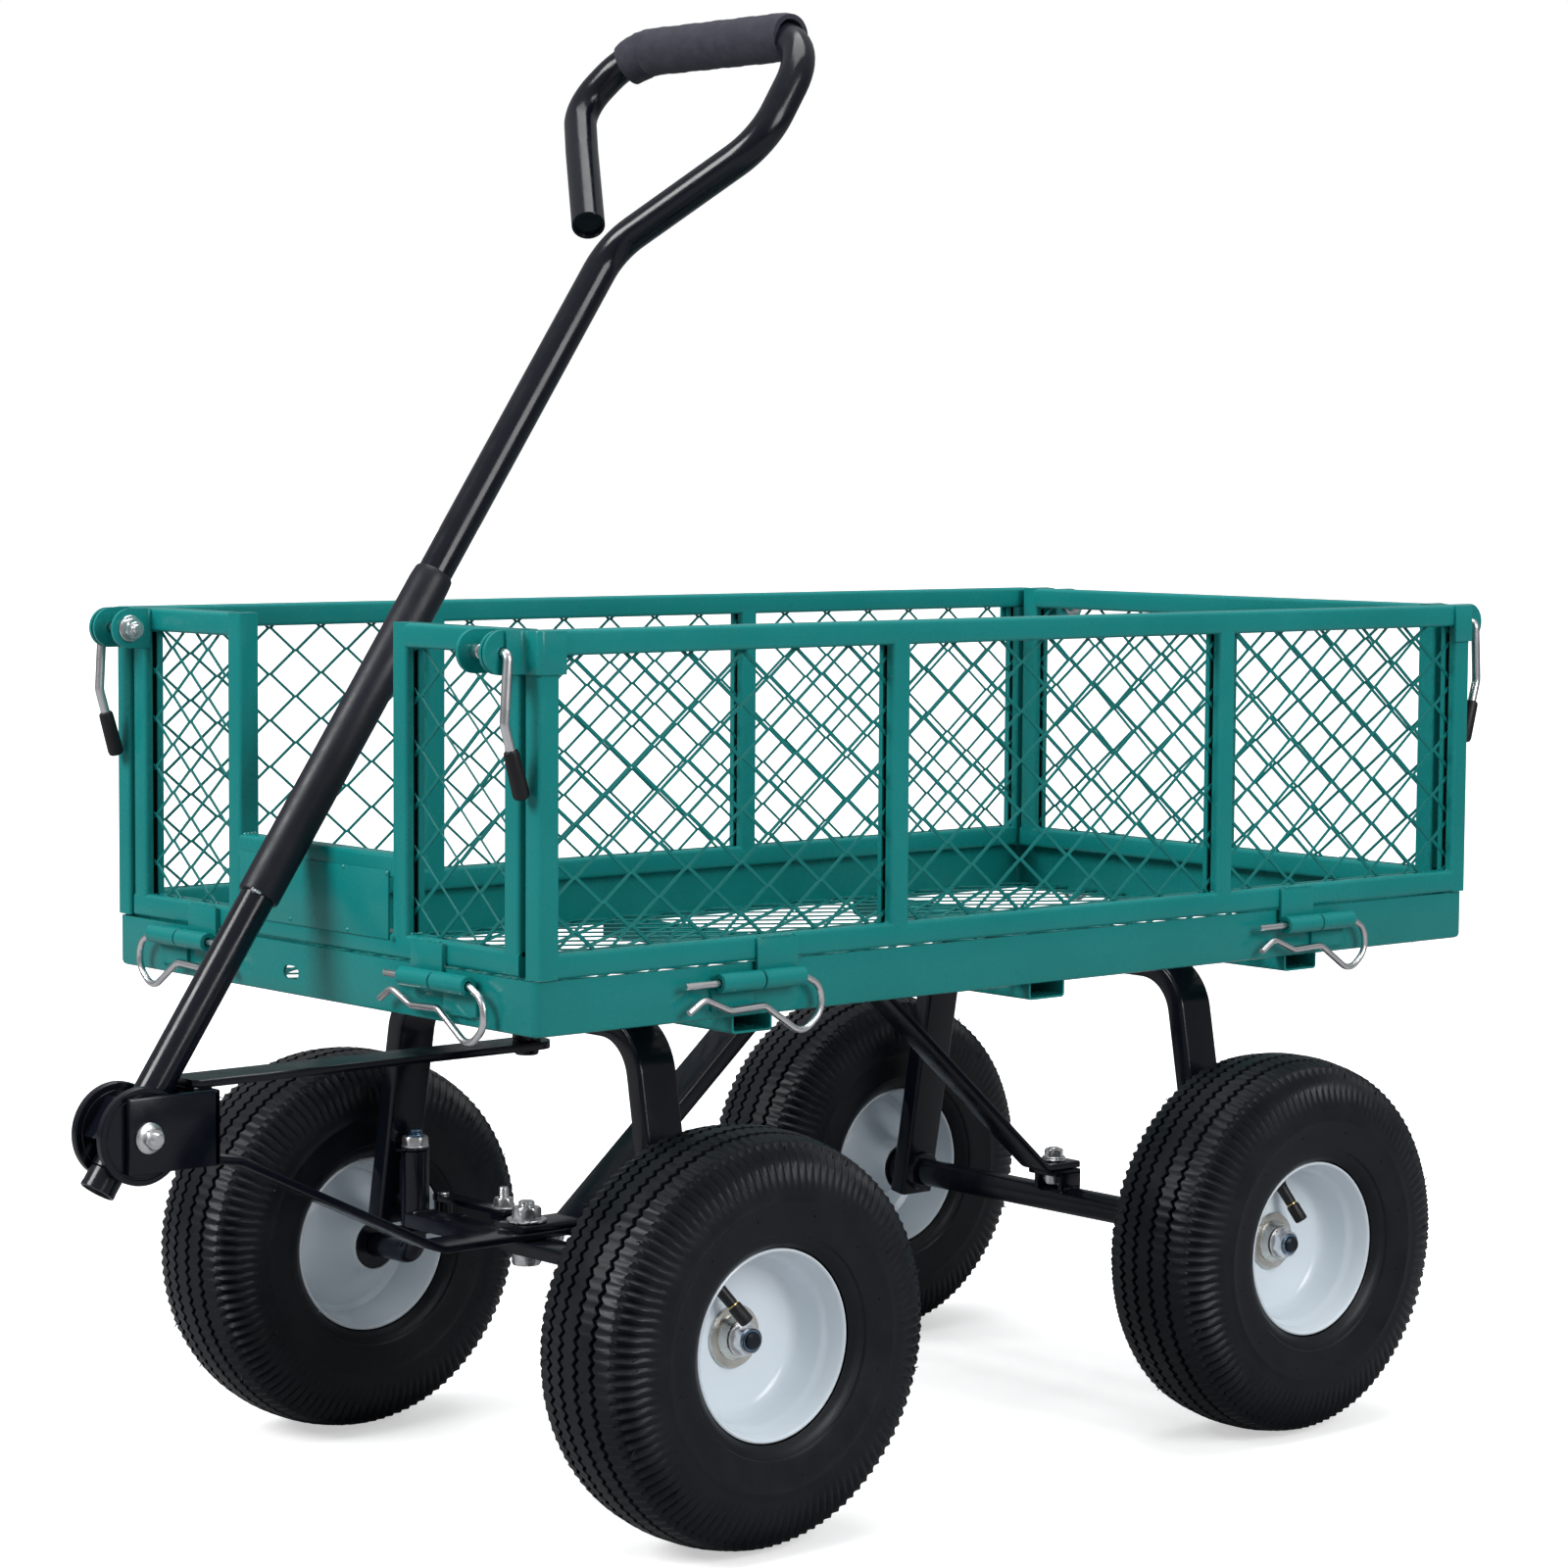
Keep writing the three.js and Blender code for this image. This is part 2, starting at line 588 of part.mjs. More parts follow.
// ---------------------------------------------------------------- latch levers
function latchLever() {
  const y = SIDE_Y[0] - LATCH_OFF;
  const x = LEVER_X;
  const bend = V(x, y - 2.5, 511);
  const tip = V(x, y + 10.6, 468);
  const head = [V(END_HALF_W + 2.6, y, LATCH_Z), V(x, y, LATCH_Z), V(x, y - 1, 537)];
  const tail = [V(x, y - 0.9, 538), bend, tip.clone().lerp(bend, 0.1)];
  return sweep(rounded(head, 5, 3), roundShape(LEVER_R, 8), Y_AXIS)
    .add(sweep(rounded(tail, 12, 3), roundShape(LEVER_R, 8)))
    .add(sweep([tip.clone().lerp(bend, 0.62), tip], roundShape(LEVER_R + 1.1, 8)));
}
const lever = latchLever();
add('latch_lever_front_left', lever, ZINC);
add('latch_lever_front_right', mirrored(lever, 'x'), ZINC);
add('latch_lever_rear_left', mirrored(lever, 'y', MID_Y), ZINC);
add('latch_lever_rear_right', mirrored(mirrored(lever, 'x'), 'y', MID_Y), ZINC);

// ---------------------------------------------------------------- hairpin clips
// Offsets along the barrel (u, loop end positive) and below its axis (w).
const CLIP_LINE = [[-59, 0], [34, 0], [47.5, 7], [49, 23], [33, 36], [3, 16], [-24, 17],
  [-44, 8.6], [-56, 16]];

function hairpin(place, side) {
  const corners = CLIP_LINE.map(([u, w]) => place(u, w));
  return sweep(rounded(corners, 9, 2), roundShape(WIRE_R, 6), side);
}

SIDE_PIN_Y.forEach((y, i) => {
  const clipSolid = hairpin((u, w) => V(SIDE_PIN_X, y + u, SIDE_PIN_Z - w), X_AXIS);
  const end = i === 0 ? 'front' : 'rear';
  add(`side_clip_left_${end}`, clipSolid, ZINC);
  add(`side_clip_right_${end}`, mirrored(clipSolid, 'x'), ZINC);
});
const endClip = hairpin((u, w) => V(END_PIN_X + u, FRONT_PIN_Y, END_PIN_Z - w), Y_AXIS);
add('front_clip_left', endClip, ZINC);
add('front_clip_right', mirrored(endClip, 'x'), ZINC);
add('rear_clip_left', mirrored(endClip, 'y', MID_Y), ZINC);
add('rear_clip_right', mirrored(mirrored(endClip, 'x'), 'y', MID_Y), ZINC);

// ---------------------------------------------------------------- leg frames
function legX(z) {
  return LEG_FOOT_X - LEG_LEAN * (z - TYRE_R);
}

function legFrame(y, footZ) {
  const route = rounded([V(-legX(footZ), y, footZ), V(-legX(LEG_TOP_Z), y, LEG_TOP_Z),
    V(legX(LEG_TOP_Z), y, LEG_TOP_Z), V(legX(footZ), y, footZ)], 26, 4);
  const outside = sweep(route, flatShape(LEG_W, LEG_T), Y_AXIS);
  const inside = sweep(overrun(route, 3), flatShape(LEG_W - 3, LEG_T - 3), Y_AXIS);
  return outside.subtract(inside);
}

function frontLegFrame() {
  let frame = legFrame(0, SLEEVE_Z[0]);
  frame = frame.add(box([-KINGPIN_X + 4, KINGPIN_X - 4], [-12, 12], [SLEEVE_Z[0], 160]));
  [1, -1].forEach((s) => {
    const face = (z) => V(s * (legX(z) - LEG_T / 2 - 1.8), 0, z);
    frame = frame.add(rod('z', SLEEVE_R, SLEEVE_Z[0], SLEEVE_Z[1], [s * KINGPIN_X, 0], 16))
      .add(sweep([face(162), face(194)], flatShape(12, 6.6), Y_AXIS));
  });
  [1, -1].forEach((s) => {
    frame = frame.subtract(
      rod('z', SPINDLE_R + GAP, SLEEVE_Z[0] - 2, SLEEVE_Z[1] + 2, [s * KINGPIN_X, 0], 16));
  });
  return frame.subtract(rod('z', 6.4, 140, 170, [0, 0]))
    .subtract(rod('z', 6.4, LEG_TOP_Z - 9, LEG_TOP_Z + 2, [0, 0]));
}
add('front_leg_frame', frontLegFrame(), BLACK);

const rearLegs = legFrame(REAR_AXLE_Y, 114);
add('rear_leg_frame', rearLegs.subtract(
  rod('x', SPINDLE_R + GAP, -200, 200, [REAR_AXLE_Y, TYRE_R], 16)), BLACK);

const BRACKET_Z = [TYRE_R + 8, 153];
add('rear_axle', rod('x', 10, -144, 144, [REAR_AXLE_Y, TYRE_R], 16)
  .add(rod('x', SPINDLE_R, -SPINDLE_END, SPINDLE_END, [REAR_AXLE_Y, TYRE_R], 16))
  .add(box([-14, 14], [468, 494], [BRACKET_Z[1] - 4, BRACKET_Z[1]]))
  .add(box([-14, -10], [474, 494], [BRACKET_Z[0], BRACKET_Z[1]]))
  .add(box([10, 14], [474, 494], [BRACKET_Z[0], BRACKET_Z[1]]))
  .subtract(rod('z', 4.4, BRACKET_Z[1] - 6, BRACKET_Z[1] + 2, [0, 480])), BLACK);

// ---------------------------------------------------------------- braces and pivot bolts
const BRACE_W = 28;
const BRACE_LIP_Z = [165.8, 170];
const BRACE_LOW = [62, 184.9];
const BRACE_TOP = [206, 307];
const lipMid = (BRACE_LIP_Z[0] + BRACE_LIP_Z[1]) / 2;
const TUBE_UNDER = CROSS_TUBE_Z[0] - GAP;

function frontBrace() {
  const lip = sweep([V(0, -13, lipMid), V(0, 42, lipMid), V(0, BRACE_LOW[0], BRACE_LOW[1])],
    flatShape(BRACE_W, 4.2));
  const tube = sweep([V(0, 57, 180.6), V(0, BRACE_TOP[0], BRACE_TOP[1])], flatShape(BRACE_W, 14));
  const topLip = sweep([V(0, 203, 304.5), V(0, 215, TUBE_UNDER - 2), V(0, 266, TUBE_UNDER - 2)],
    flatShape(BRACE_W, 4));
  return lip.add(tube).add(topLip).subtract(rod('z', 6.4, 160, 175, [0, 0]));
}
add('front_brace', frontBrace(), BLACK);

const rearLipZ = BRACKET_Z[1] + GAP + 2.5;
add('rear_brace', sweep([V(0, 494, rearLipZ), V(0, 462, rearLipZ), V(0, 286, TUBE_UNDER - 7),
  V(0, 272, TUBE_UNDER - 6.6), V(0, 240, TUBE_UNDER - 6.6)], flatShape(26, 5))
  .subtract(rod('z', 4.4, rearLipZ - 5, rearLipZ + 5, [0, 480])), BLACK);

function bolt(x, y, shankR, headR, headZ, shankZ, nutZ, sides = 12) {
  return rod('z', shankR, shankZ[0], shankZ[1], [x, y], sides)
    .add(rod('z', headR, headZ[0], headZ[1], [x, y], 6))
    .add(rod('z', headR, nutZ[0], nutZ[1], [x, y], 6))
    .add(rod('z', headR * 1.35, nutZ[0] - 1.4, nutZ[0] + 0.2, [x, y], 16));
}
add('rear_brace_bolt', bolt(0, 480, 4, 7, [141.6, 148.6], [141.6, 166],
  [rearLipZ + 4.4, rearLipZ + 9.5]), ZINC);
add('king_bolt', bolt(0, 0, 6, 10, [142, 149.6], [142, 184], [172, 180]), ZINC);

const YOKE_Z = [284, 289];
add('upper_pivot_bolt', rod('z', 6, 277, 302.2, [0, 0])
  .add(rod('z', 10, 276.4, YOKE_Z[0] - GAP, [0, 0], 6))
  .add(rod('z', 9.5, YOKE_Z[1] + GAP, 302.2, [0, 0], 16)), ZINC);

// ---------------------------------------------------------------- tongue
function tongue() {
  const upper = box([-15, 15], [-262, 0], YOKE_Z).add(rod('z', 15, YOKE_Z[0], YOKE_Z[1], [0, 0], 20));
  const mid = (TONGUE_Z[0] + TONGUE_Z[1]) / 2;
  const lower = sweep(rounded([V(0, -250, 239.6), V(0, -228, 236), V(0, -76, mid), V(0, 46, mid)], 20, 3),
    flatShape(30, 5));
  const tail = box([-TIE_X - 11, TIE_X + 11], [22, TIE_Y + 10], TONGUE_Z);
  let clevis = box([-CLEVIS_X[1], CLEVIS_X[1]], [CLEVIS_Y[1] - 5, CLEVIS_Y[1]], CLEVIS_Z);
  [1, -1].forEach((s) => {
    clevis = clevis.add(box([s * CLEVIS_X[0], s * CLEVIS_X[1]], CLEVIS_Y, CLEVIS_Z));
  });
  clevis = clevis.add(box([-15, 15], [-262, CLEVIS_Y[1]], [CLEVIS_Z[1] - 2.5, YOKE_Z[0] + 1]));
  const webTop = box([-CLEVIS_X[1], CLEVIS_X[1]], [-258, CLEVIS_Y[1]], [CLEVIS_Z[1] - 3, CLEVIS_Z[1]]);
  return upper.add(lower).add(tail).add(clevis).add(webTop)
    .subtract(rod('z', 6.4, 150, 300, [0, 0]))
    .subtract(rod('z', 4.4, 150, 170, [TIE_X, TIE_Y]))
    .subtract(rod('z', 4.4, 150, 170, [-TIE_X, TIE_Y]))
    .subtract(rod('x', 6.4, -30, 30, [PIVOT_Y, PIVOT_Z], 14));
}
add('tongue', tongue(), BLACK);

// ---------------------------------------------------------------- steering knuckles and tie rods
function knuckle() {
  const arm = sweep([V(KINGPIN_X, -11, 0), V(KINGPIN_X, 12, 0), V(KINGPIN_X + TIE_X, TIE_Y + 9, 0)]
    .map((p) => p.setZ((ARM_Z[0] + ARM_Z[1]) / 2)), flatShape(ARM_Z[1] - ARM_Z[0], 19), Z_AXIS);
  return rod('z', SPINDLE_R, TYRE_R, 208, [KINGPIN_X, 0], 16)
    .add(rod('x', SPINDLE_R, KINGPIN_X - 6, SPINDLE_END, [0, TYRE_R], 16))
    .add(rod('z', 10, SLEEVE_Z[1] + GAP, SLEEVE_Z[1] + 2.4, [KINGPIN_X, 0], 16))
    .add(rod('z', 9, SLEEVE_Z[1] + 2.2, SLEEVE_Z[1] + 10, [KINGPIN_X, 0], 6))
    .add(arm)
    .subtract(rod('z', 4.4, ARM_Z[0] - 2, ARM_Z[1] + 2, [KINGPIN_X + TIE_X, TIE_Y]));
}
const knuckleSolid = knuckle();
add('steering_knuckle_left', knuckleSolid, BLACK);
add('steering_knuckle_right', mirrored(knuckleSolid, 'x'), BLACK);

// Two lapped flats bolted together, with a pin at each end.
function tieRod() {
  const outX = KINGPIN_X + TIE_X;
  const lapX = 75;
  const y = [TIE_Y - 7, TIE_Y + 7];
  const thick = TIE_Z[1] - TIE_Z[0];
  return box([TIE_X, lapX + 9], y, TIE_Z)
    .add(rod('z', 7, TIE_Z[0], TIE_Z[1], [TIE_X, TIE_Y], 14))
    .add(box([lapX - 9, outX], y, [TIE_Z[0] + thick, TIE_Z[1] + thick]))
    .add(rod('z', 7, TIE_Z[0] + thick, TIE_Z[1] + thick, [outX, TIE_Y], 14))
    .add(rod('z', 6.5, 138.6, 178, [lapX, TIE_Y], 6).intersect(
      rod('z', 8, TIE_Z[1] + thick - 0.2, 171, [lapX, TIE_Y])))
    .add(rod('z', 3.6, 150.6, 178, [lapX, TIE_Y], 10))
    .add(rod('z', 6.5, 150, TIE_Z[0] + 0.2, [lapX, TIE_Y], 6))
    .add(rod('z', 4, TIE_Z[0] - 6, TONGUE_Z[1] - 0.2, [TIE_X, TIE_Y]))
    .add(rod('z', 7, TIE_Z[0] - 6, TIE_Z[0] + 0.2, [TIE_X, TIE_Y], 6))
    .add(rod('z', 6.5, ARM_Z[1] + GAP, TIE_Z[0] + thick + 0.2, [outX, TIE_Y]))
    .add(rod('z', 4, 138.6, 160, [outX, TIE_Y]))
    .add(rod('z', 7, 138.6, ARM_Z[0] - GAP, [outX, TIE_Y], 6));
}
const tieSolid = tieRod();
add('tie_rod_left', tieSolid, BLACK);
add('tie_rod_right', mirrored(tieSolid, 'x'), BLACK);

// ---------------------------------------------------------------- wheels
const TYRE_PROFILE = [
  [TYRE_R - 3, 31], [119, 40.5], [100, TYRE_HALF_W], [78, 43.5], [RIM_R + 0.7, 37],
  [RIM_R + 0.7, 31], [80, 38.5], [100, 40.5], [117, 31],
];
const rimProfile = [
  [HUB_R, -1], [HUB_R, HUB_OUT], [SPINDLE_R + 0.5, HUB_OUT], [SPINDLE_R + 0.5, -HUB_IN],
  [COLLAR_R, -HUB_IN], [23, -14], [46, -1], [46, -22], [50, -32.5], [RIM_R, -1 - RIM_HALF_W],
  [RIM_R, 2 - RIM_HALF_W], [49, -22], [49, 22], [RIM_R, RIM_HALF_W - 2], [RIM_R, RIM_HALF_W + 1],
  [50, 32.5], [46, 22], [46, 3],
];
const tyreLoop = [[TYRE_R, 16], ...TYRE_PROFILE,
  ...TYRE_PROFILE.slice().reverse().map(([r, x]) => [r, -x]), [TYRE_R, -16]];
const tyreSolid = turned(tyreLoop, 20);
const rimSolid = turned(rimProfile, 20);
const valveSolid = sweep([V(7.6, -3, 39.4), V(18.5, 3, 15.6)], roundShape(4, 8), Y_AXIS);
const nutSolid = rod('x', 11.5, HUB_OUT + GAP, HUB_OUT + 2.2, [0, 0], 14)
  .add(rod('x', 9.8, HUB_OUT + 2, HUB_OUT + 10.5, [0, 0], 6))
  .subtract(rod('x', SPINDLE_R + GAP, HUB_OUT - 1, HUB_OUT + 20, [0, 0], 14));

[['front_left', 1, 0], ['front_right', -1, 0], ['rear_left', 1, REAR_AXLE_Y],
  ['rear_right', -1, REAR_AXLE_Y]].forEach(([name, side, y]) => {
  const place = (part) => {
    const out = moved(part, V(TRACK_HALF, y, TYRE_R));
    return side > 0 ? out : mirrored(out, 'x');
  };
  add(`tyre_${name}`, place(tyreSolid), RUBBER);
  add(`rim_${name}`, place(rimSolid), RIM);
  add(`valve_${name}`, place(valveSolid), RUBBER);
  add(`axle_nut_${name}`, place(nutSolid), ZINC);
});

// ---------------------------------------------------------------- handle
const lean = THREE.MathUtils.degToRad(HANDLE_LEAN);
// A point at sideways offset x, distance s up the handle from its pivot and n behind it.
function onHandle(x, s, n = 0) {
  return V(x, PIVOT_Y + s * Math.sin(lean) + n * Math.cos(lean),
    PIVOT_Z + s * Math.cos(lean) - n * Math.sin(lean));
}
const SLEEVE_S = [164.5, 401];
const ACROSS = V(0, Math.cos(lean), -Math.sin(lean));
const tubeAlong = (points, r) => sweep(points, roundShape(r, 12), ACROSS);

const lowerTube = tubeAlong([onHandle(0, -40), onHandle(0, 172)], HANDLE_R)
  .add(tubeAlong([onHandle(0, SLEEVE_S[0]), onHandle(0, SLEEVE_S[1])], 13.2))
  .subtract(tubeAlong([onHandle(0, -45), onHandle(0, 310)], HANDLE_R - 1.8))
  .subtract(tubeAlong([onHandle(0, 305), onHandle(0, 410)], HANDLE_R + GAP))
  .subtract(rod('x', 5.2, -20, 20, [PIVOT_Y, PIVOT_Z], 14));
add('handle_lower_tube', lowerTube, BLACK);

const LOOP = [[0, 312], [0, 653], [97, 733], [93, 819], [-98, 819], [-122, 775], [-92, 737],
  [-39, 673]];
const loopRoute = rounded(LOOP.map(([x, s]) => onHandle(x, s)), 34, 4);
const upperTube = tubeAlong(loopRoute, HANDLE_R)
  .subtract(sweep(overrun(loopRoute, 4), roundShape(HANDLE_R - 1.8, 8), ACROSS));
add('handle_upper_tube', upperTube, BLACK);

const gripRoute = rounded([[68, 819], [-80, 819], [-92, 811]].map(([x, s]) => onHandle(x, s)), 34, 3);
const grip = tubeAlong(gripRoute, GRIP_R).subtract(tubeAlong(loopRoute, HANDLE_R + 0.6));
add('handle_grip', grip, FOAM);

function cheeks() {
  let block = rod('x', CHEEK_R, CHEEK_X[0], CHEEK_X[1], [PIVOT_Y, PIVOT_Z], 20)
    .add(rod('x', CHEEK_R, -CHEEK_X[1], -CHEEK_X[0], [PIVOT_Y, PIVOT_Z], 20));
  [1, -1].forEach((s) => {
    block = block.add(sweep([onHandle(0, -14, s * 16), onHandle(0, 14, s * 16)],
      flatShape(2 * CHEEK_X[0] + 2, 8)));
  });
  return block.subtract(rod('x', 6.4, -30, 30, [PIVOT_Y, PIVOT_Z], 14));
}
add('handle_cheeks', cheeks(), BLACK);

add('handle_pivot_bolt', rod('x', 4.8, -27, 27, [PIVOT_Y, PIVOT_Z])
  .add(rod('x', 9, CLEVIS_X[1] + GAP, 29, [PIVOT_Y, PIVOT_Z], 16))
  .add(rod('x', 9, -31, -CLEVIS_X[1] - GAP, [PIVOT_Y, PIVOT_Z], 6)), ZINC);

// ---------------------------------------------------------------- centre on the origin
const extent = new THREE.Box3().setFromObject(cart);
const shiftY = -(extent.min.y + extent.max.y) / 2;
cart.children.forEach((mesh) => mesh.geometry.translate(0, shiftY, -extent.min.z));
cart.name = 'garden_cart';

export default cart;
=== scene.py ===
"""Garden cart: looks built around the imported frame. Layout lengths are millimetres,
with y = 0 over the front axle, and become metres in P()."""
import math
import random

import bmesh
import bpy
from mathutils import Matrix, Vector


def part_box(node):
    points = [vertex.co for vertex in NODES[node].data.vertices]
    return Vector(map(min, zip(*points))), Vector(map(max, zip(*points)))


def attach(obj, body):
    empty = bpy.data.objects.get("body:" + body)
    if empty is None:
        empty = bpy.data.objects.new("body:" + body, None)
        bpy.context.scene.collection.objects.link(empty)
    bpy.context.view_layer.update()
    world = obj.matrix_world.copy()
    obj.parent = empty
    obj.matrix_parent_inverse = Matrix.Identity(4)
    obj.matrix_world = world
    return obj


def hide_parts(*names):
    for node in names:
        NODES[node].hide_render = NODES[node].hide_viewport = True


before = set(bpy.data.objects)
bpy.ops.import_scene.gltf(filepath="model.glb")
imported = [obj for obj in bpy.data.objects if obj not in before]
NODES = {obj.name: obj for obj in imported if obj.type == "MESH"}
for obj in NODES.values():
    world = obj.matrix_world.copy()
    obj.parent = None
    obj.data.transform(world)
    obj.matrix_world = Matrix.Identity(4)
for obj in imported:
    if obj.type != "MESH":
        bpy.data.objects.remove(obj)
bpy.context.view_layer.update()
rng = random.Random(7)


def centre(node):
    lo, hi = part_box(node)
    return (lo + hi) / 2


AXLE = centre("tyre_front_left")        # front left wheel centre
SHIFT_Y = AXLE.y
TYRE_R = AXLE.z * 1000
TRACK = AXLE.x * 1000
REAR_Y = (centre("tyre_rear_left").y - SHIFT_Y) * 1000
MID_Y = (centre("bed_tray").y - SHIFT_Y) * 1000


def P(x, y, z):
    return Vector((x / 1000, y / 1000 + SHIFT_Y, z / 1000))


def link(name, data):
    ob = bpy.data.objects.new(name, data)
    bpy.context.scene.collection.objects.link(ob)
    return ob


# ------------------------------------------------------------------ camera
def make_camera():
    azimuth, elevation, roll = math.radians(49.03), math.radians(4.52), math.radians(0.38)
    back = Vector((math.sin(azimuth) * math.cos(elevation),
                   -math.cos(azimuth) * math.cos(elevation), math.sin(elevation)))
    right = Vector((math.cos(azimuth), math.sin(azimuth), 0))
    up = back.cross(right)
    r2 = right * math.cos(roll) + up * math.sin(roll)
    u2 = up * math.cos(roll) - right * math.sin(roll)
    cam = bpy.data.cameras.new("camera")
    cam.lens = 93.47
    cam.sensor_width = 36
    cam.clip_end = 50
    ob = link("camera", cam)
    m = Matrix((r2, u2, back)).transposed().to_4x4()
    m.translation = P(2077.29, -1585.38, 661.93)
    ob.matrix_world = m
    bpy.context.scene.camera = ob


make_camera()


# ------------------------------------------------------------------ materials
def new_material(name):
    m = bpy.data.materials.new(name)
    m.use_nodes = True
    nt = m.node_tree
    return m, nt, nt.nodes["Principled BSDF"]


def noise(nt, scale, detail, rough=0.5):
    tc = nt.nodes.new("ShaderNodeTexCoord")
    n = nt.nodes.new("ShaderNodeTexNoise")
    n.inputs["Scale"].default_value = scale
    n.inputs["Detail"].default_value = detail
    n.inputs["Roughness"].default_value = rough
    nt.links.new(tc.outputs["Object"], n.inputs["Vector"])
    return n


def ramp(nt, src, stops):
    r = nt.nodes.new("ShaderNodeValToRGB")
    els = r.color_ramp.elements
    while len(els) < len(stops):
        els.new(0.5)
    for e, (pos, col) in zip(els, stops):
        e.position = pos
        e.color = (*col, 1) if len(col) == 3 else col
    nt.links.new(src, r.inputs["Fac"])
    return r


def grey(v):
    return (v, v, v)


def bump(nt, bsdf, src, strength, distance):
    b = nt.nodes.new("ShaderNodeBump")
    b.inputs["Strength"].default_value = strength
    b.inputs["Distance"].default_value = distance
    nt.links.new(src, b.inputs["Height"])
    nt.links.new(b.outputs["Normal"], bsdf.inputs["Normal"])
    return b


def surface(name, tone, colours, rough, fine, peel, inputs, spots=None, distance=0.0005):
    """Cloudy colour, roughness that varies, and a fine bump. tone, fine and spots are the
    arguments of noise(); colours and rough are the stops of their ramps."""
    m, nt, b = new_material(name)
    cloud = noise(nt, *tone)
    col = ramp(nt, cloud.outputs["Fac"], colours)
    nt.links.new(col.outputs["Color"], b.inputs["Base Color"])
    worn = noise(nt, *spots) if spots else cloud
    rr = ramp(nt, worn.outputs["Fac"], [(at, grey(v)) for at, v in rough])
    nt.links.new(rr.outputs["Color"], b.inputs["Roughness"])
    for socket, value in inputs.items():
        b.inputs[socket].default_value = value
    bump(nt, b, noise(nt, *fine).outputs["Fac"], peel, distance)
    return m


def paint(name, dark, light, rough=(0.22, 0.34), spec=0.4, peel=0.08):
    """Powder coat: cloudy tone and orange peel."""
    return surface(name, (9, 4), [(0.3, dark), (0.7, light)],
                   [(0.35, rough[0]), (0.7, rough[1])], (420, 2), peel,
                   {"Specular IOR Level": spec}, (60, 5, 0.6), 0.0006)


def metal(name, dark, light, rough=(0.18, 0.38)):
    return surface(name, (35, 5, 0.6), [(0.25, dark), (0.75, light)],
                   [(0.3, rough[1]), (0.7, rough[0])], (700, 2), 0.05, {"Metallic": 1})


def rubber(name, dark, light, rough=(0.5, 0.75), scale=30, peel=0.2, sheen=0.0, spec=0.3):
    return surface(name, (scale, 6, 0.6), [(0.35, dark), (0.7, light)],
                   [(0.3, rough[0]), (0.75, rough[1])], (900, 3), peel,
                   {"Specular IOR Level": spec, "Sheen Weight": sheen})


GREEN = paint("green_powder_coat", (0.005, 0.205, 0.196), (0.008, 0.236, 0.226),
              rough=(0.2, 0.32), spec=0.3)
BLACK = paint("black_powder_coat", (0.003, 0.0042, 0.0085), (0.005, 0.006, 0.0115),
              rough=(0.14, 0.26), spec=0.34, peel=0.05)
SATIN = paint("satin_black_sleeve", (0.006, 0.0068, 0.0122), (0.0095, 0.0102, 0.0178),
              rough=(0.36, 0.5), spec=0.34, peel=0.12)
# painted shade: the green powder coat darkened by about a quarter for the expanded mesh strands
STRAND = paint("green_powder_coat_mesh_shade", (0.004, 0.150, 0.142), (0.006, 0.185, 0.176),
               rough=(0.3, 0.42), spec=0.25)
# painted shade: near-black blocks that sit in the slotted tubes' hollows and darken the slots
SHADE = rubber("painted_slot_shade", (0.0012, 0.002, 0.002), (0.003, 0.004, 0.004), rough=(0.8, 0.95),
               spec=0.05)
RIM = paint("pale_rim_paint", (0.71, 0.785, 0.845), (0.77, 0.84, 0.895), rough=(0.16, 0.26),
            spec=0.5, peel=0.05)
ZINC = metal("bright_zinc", (0.60, 0.60, 0.61), (0.86, 0.86, 0.87))
ZINC_WARM = metal("passivated_zinc", (0.46, 0.45, 0.40), (0.78, 0.77, 0.72))
ZINC_BLUE = metal("blue_zinc", (0.06, 0.12, 0.20), (0.30, 0.42, 0.55), rough=(0.15, 0.3))
STEEL_DARK = metal("black_oxide", (0.02, 0.024, 0.03), (0.06, 0.07, 0.085), rough=(0.25, 0.4))
BRASS = metal("brass_ring", (0.55, 0.40, 0.15), (0.75, 0.58, 0.28))
TYRE = rubber("tyre_rubber", (0.002, 0.0035, 0.006), (0.006, 0.008, 0.0115), rough=(0.32, 0.5),
              spec=0.26)
MOULDED = rubber("moulded_black", (0.006, 0.006, 0.007), (0.014, 0.014, 0.016), rough=(0.35, 0.5))
FOAM = rubber("foam_grip", (0.036, 0.036, 0.050), (0.054, 0.054, 0.070), rough=(0.6, 0.85),
              scale=120, peel=0.5, sheen=0.02, spec=0.15)


# ------------------------------------------------------------------ mesh building
CROWN = 0.18            # share of a nut's height that is chamfered
X = Vector((1, 0, 0))


def turns(n):
    return [2 * math.pi * k / n for k in range(n)]


def on_axis(axis, c, s, h):
    """Point at height h along the axis, with c and s across it."""
    return {"x": (h, c, s), "y": (c, h, s), "z": (c, s, h)}[axis]


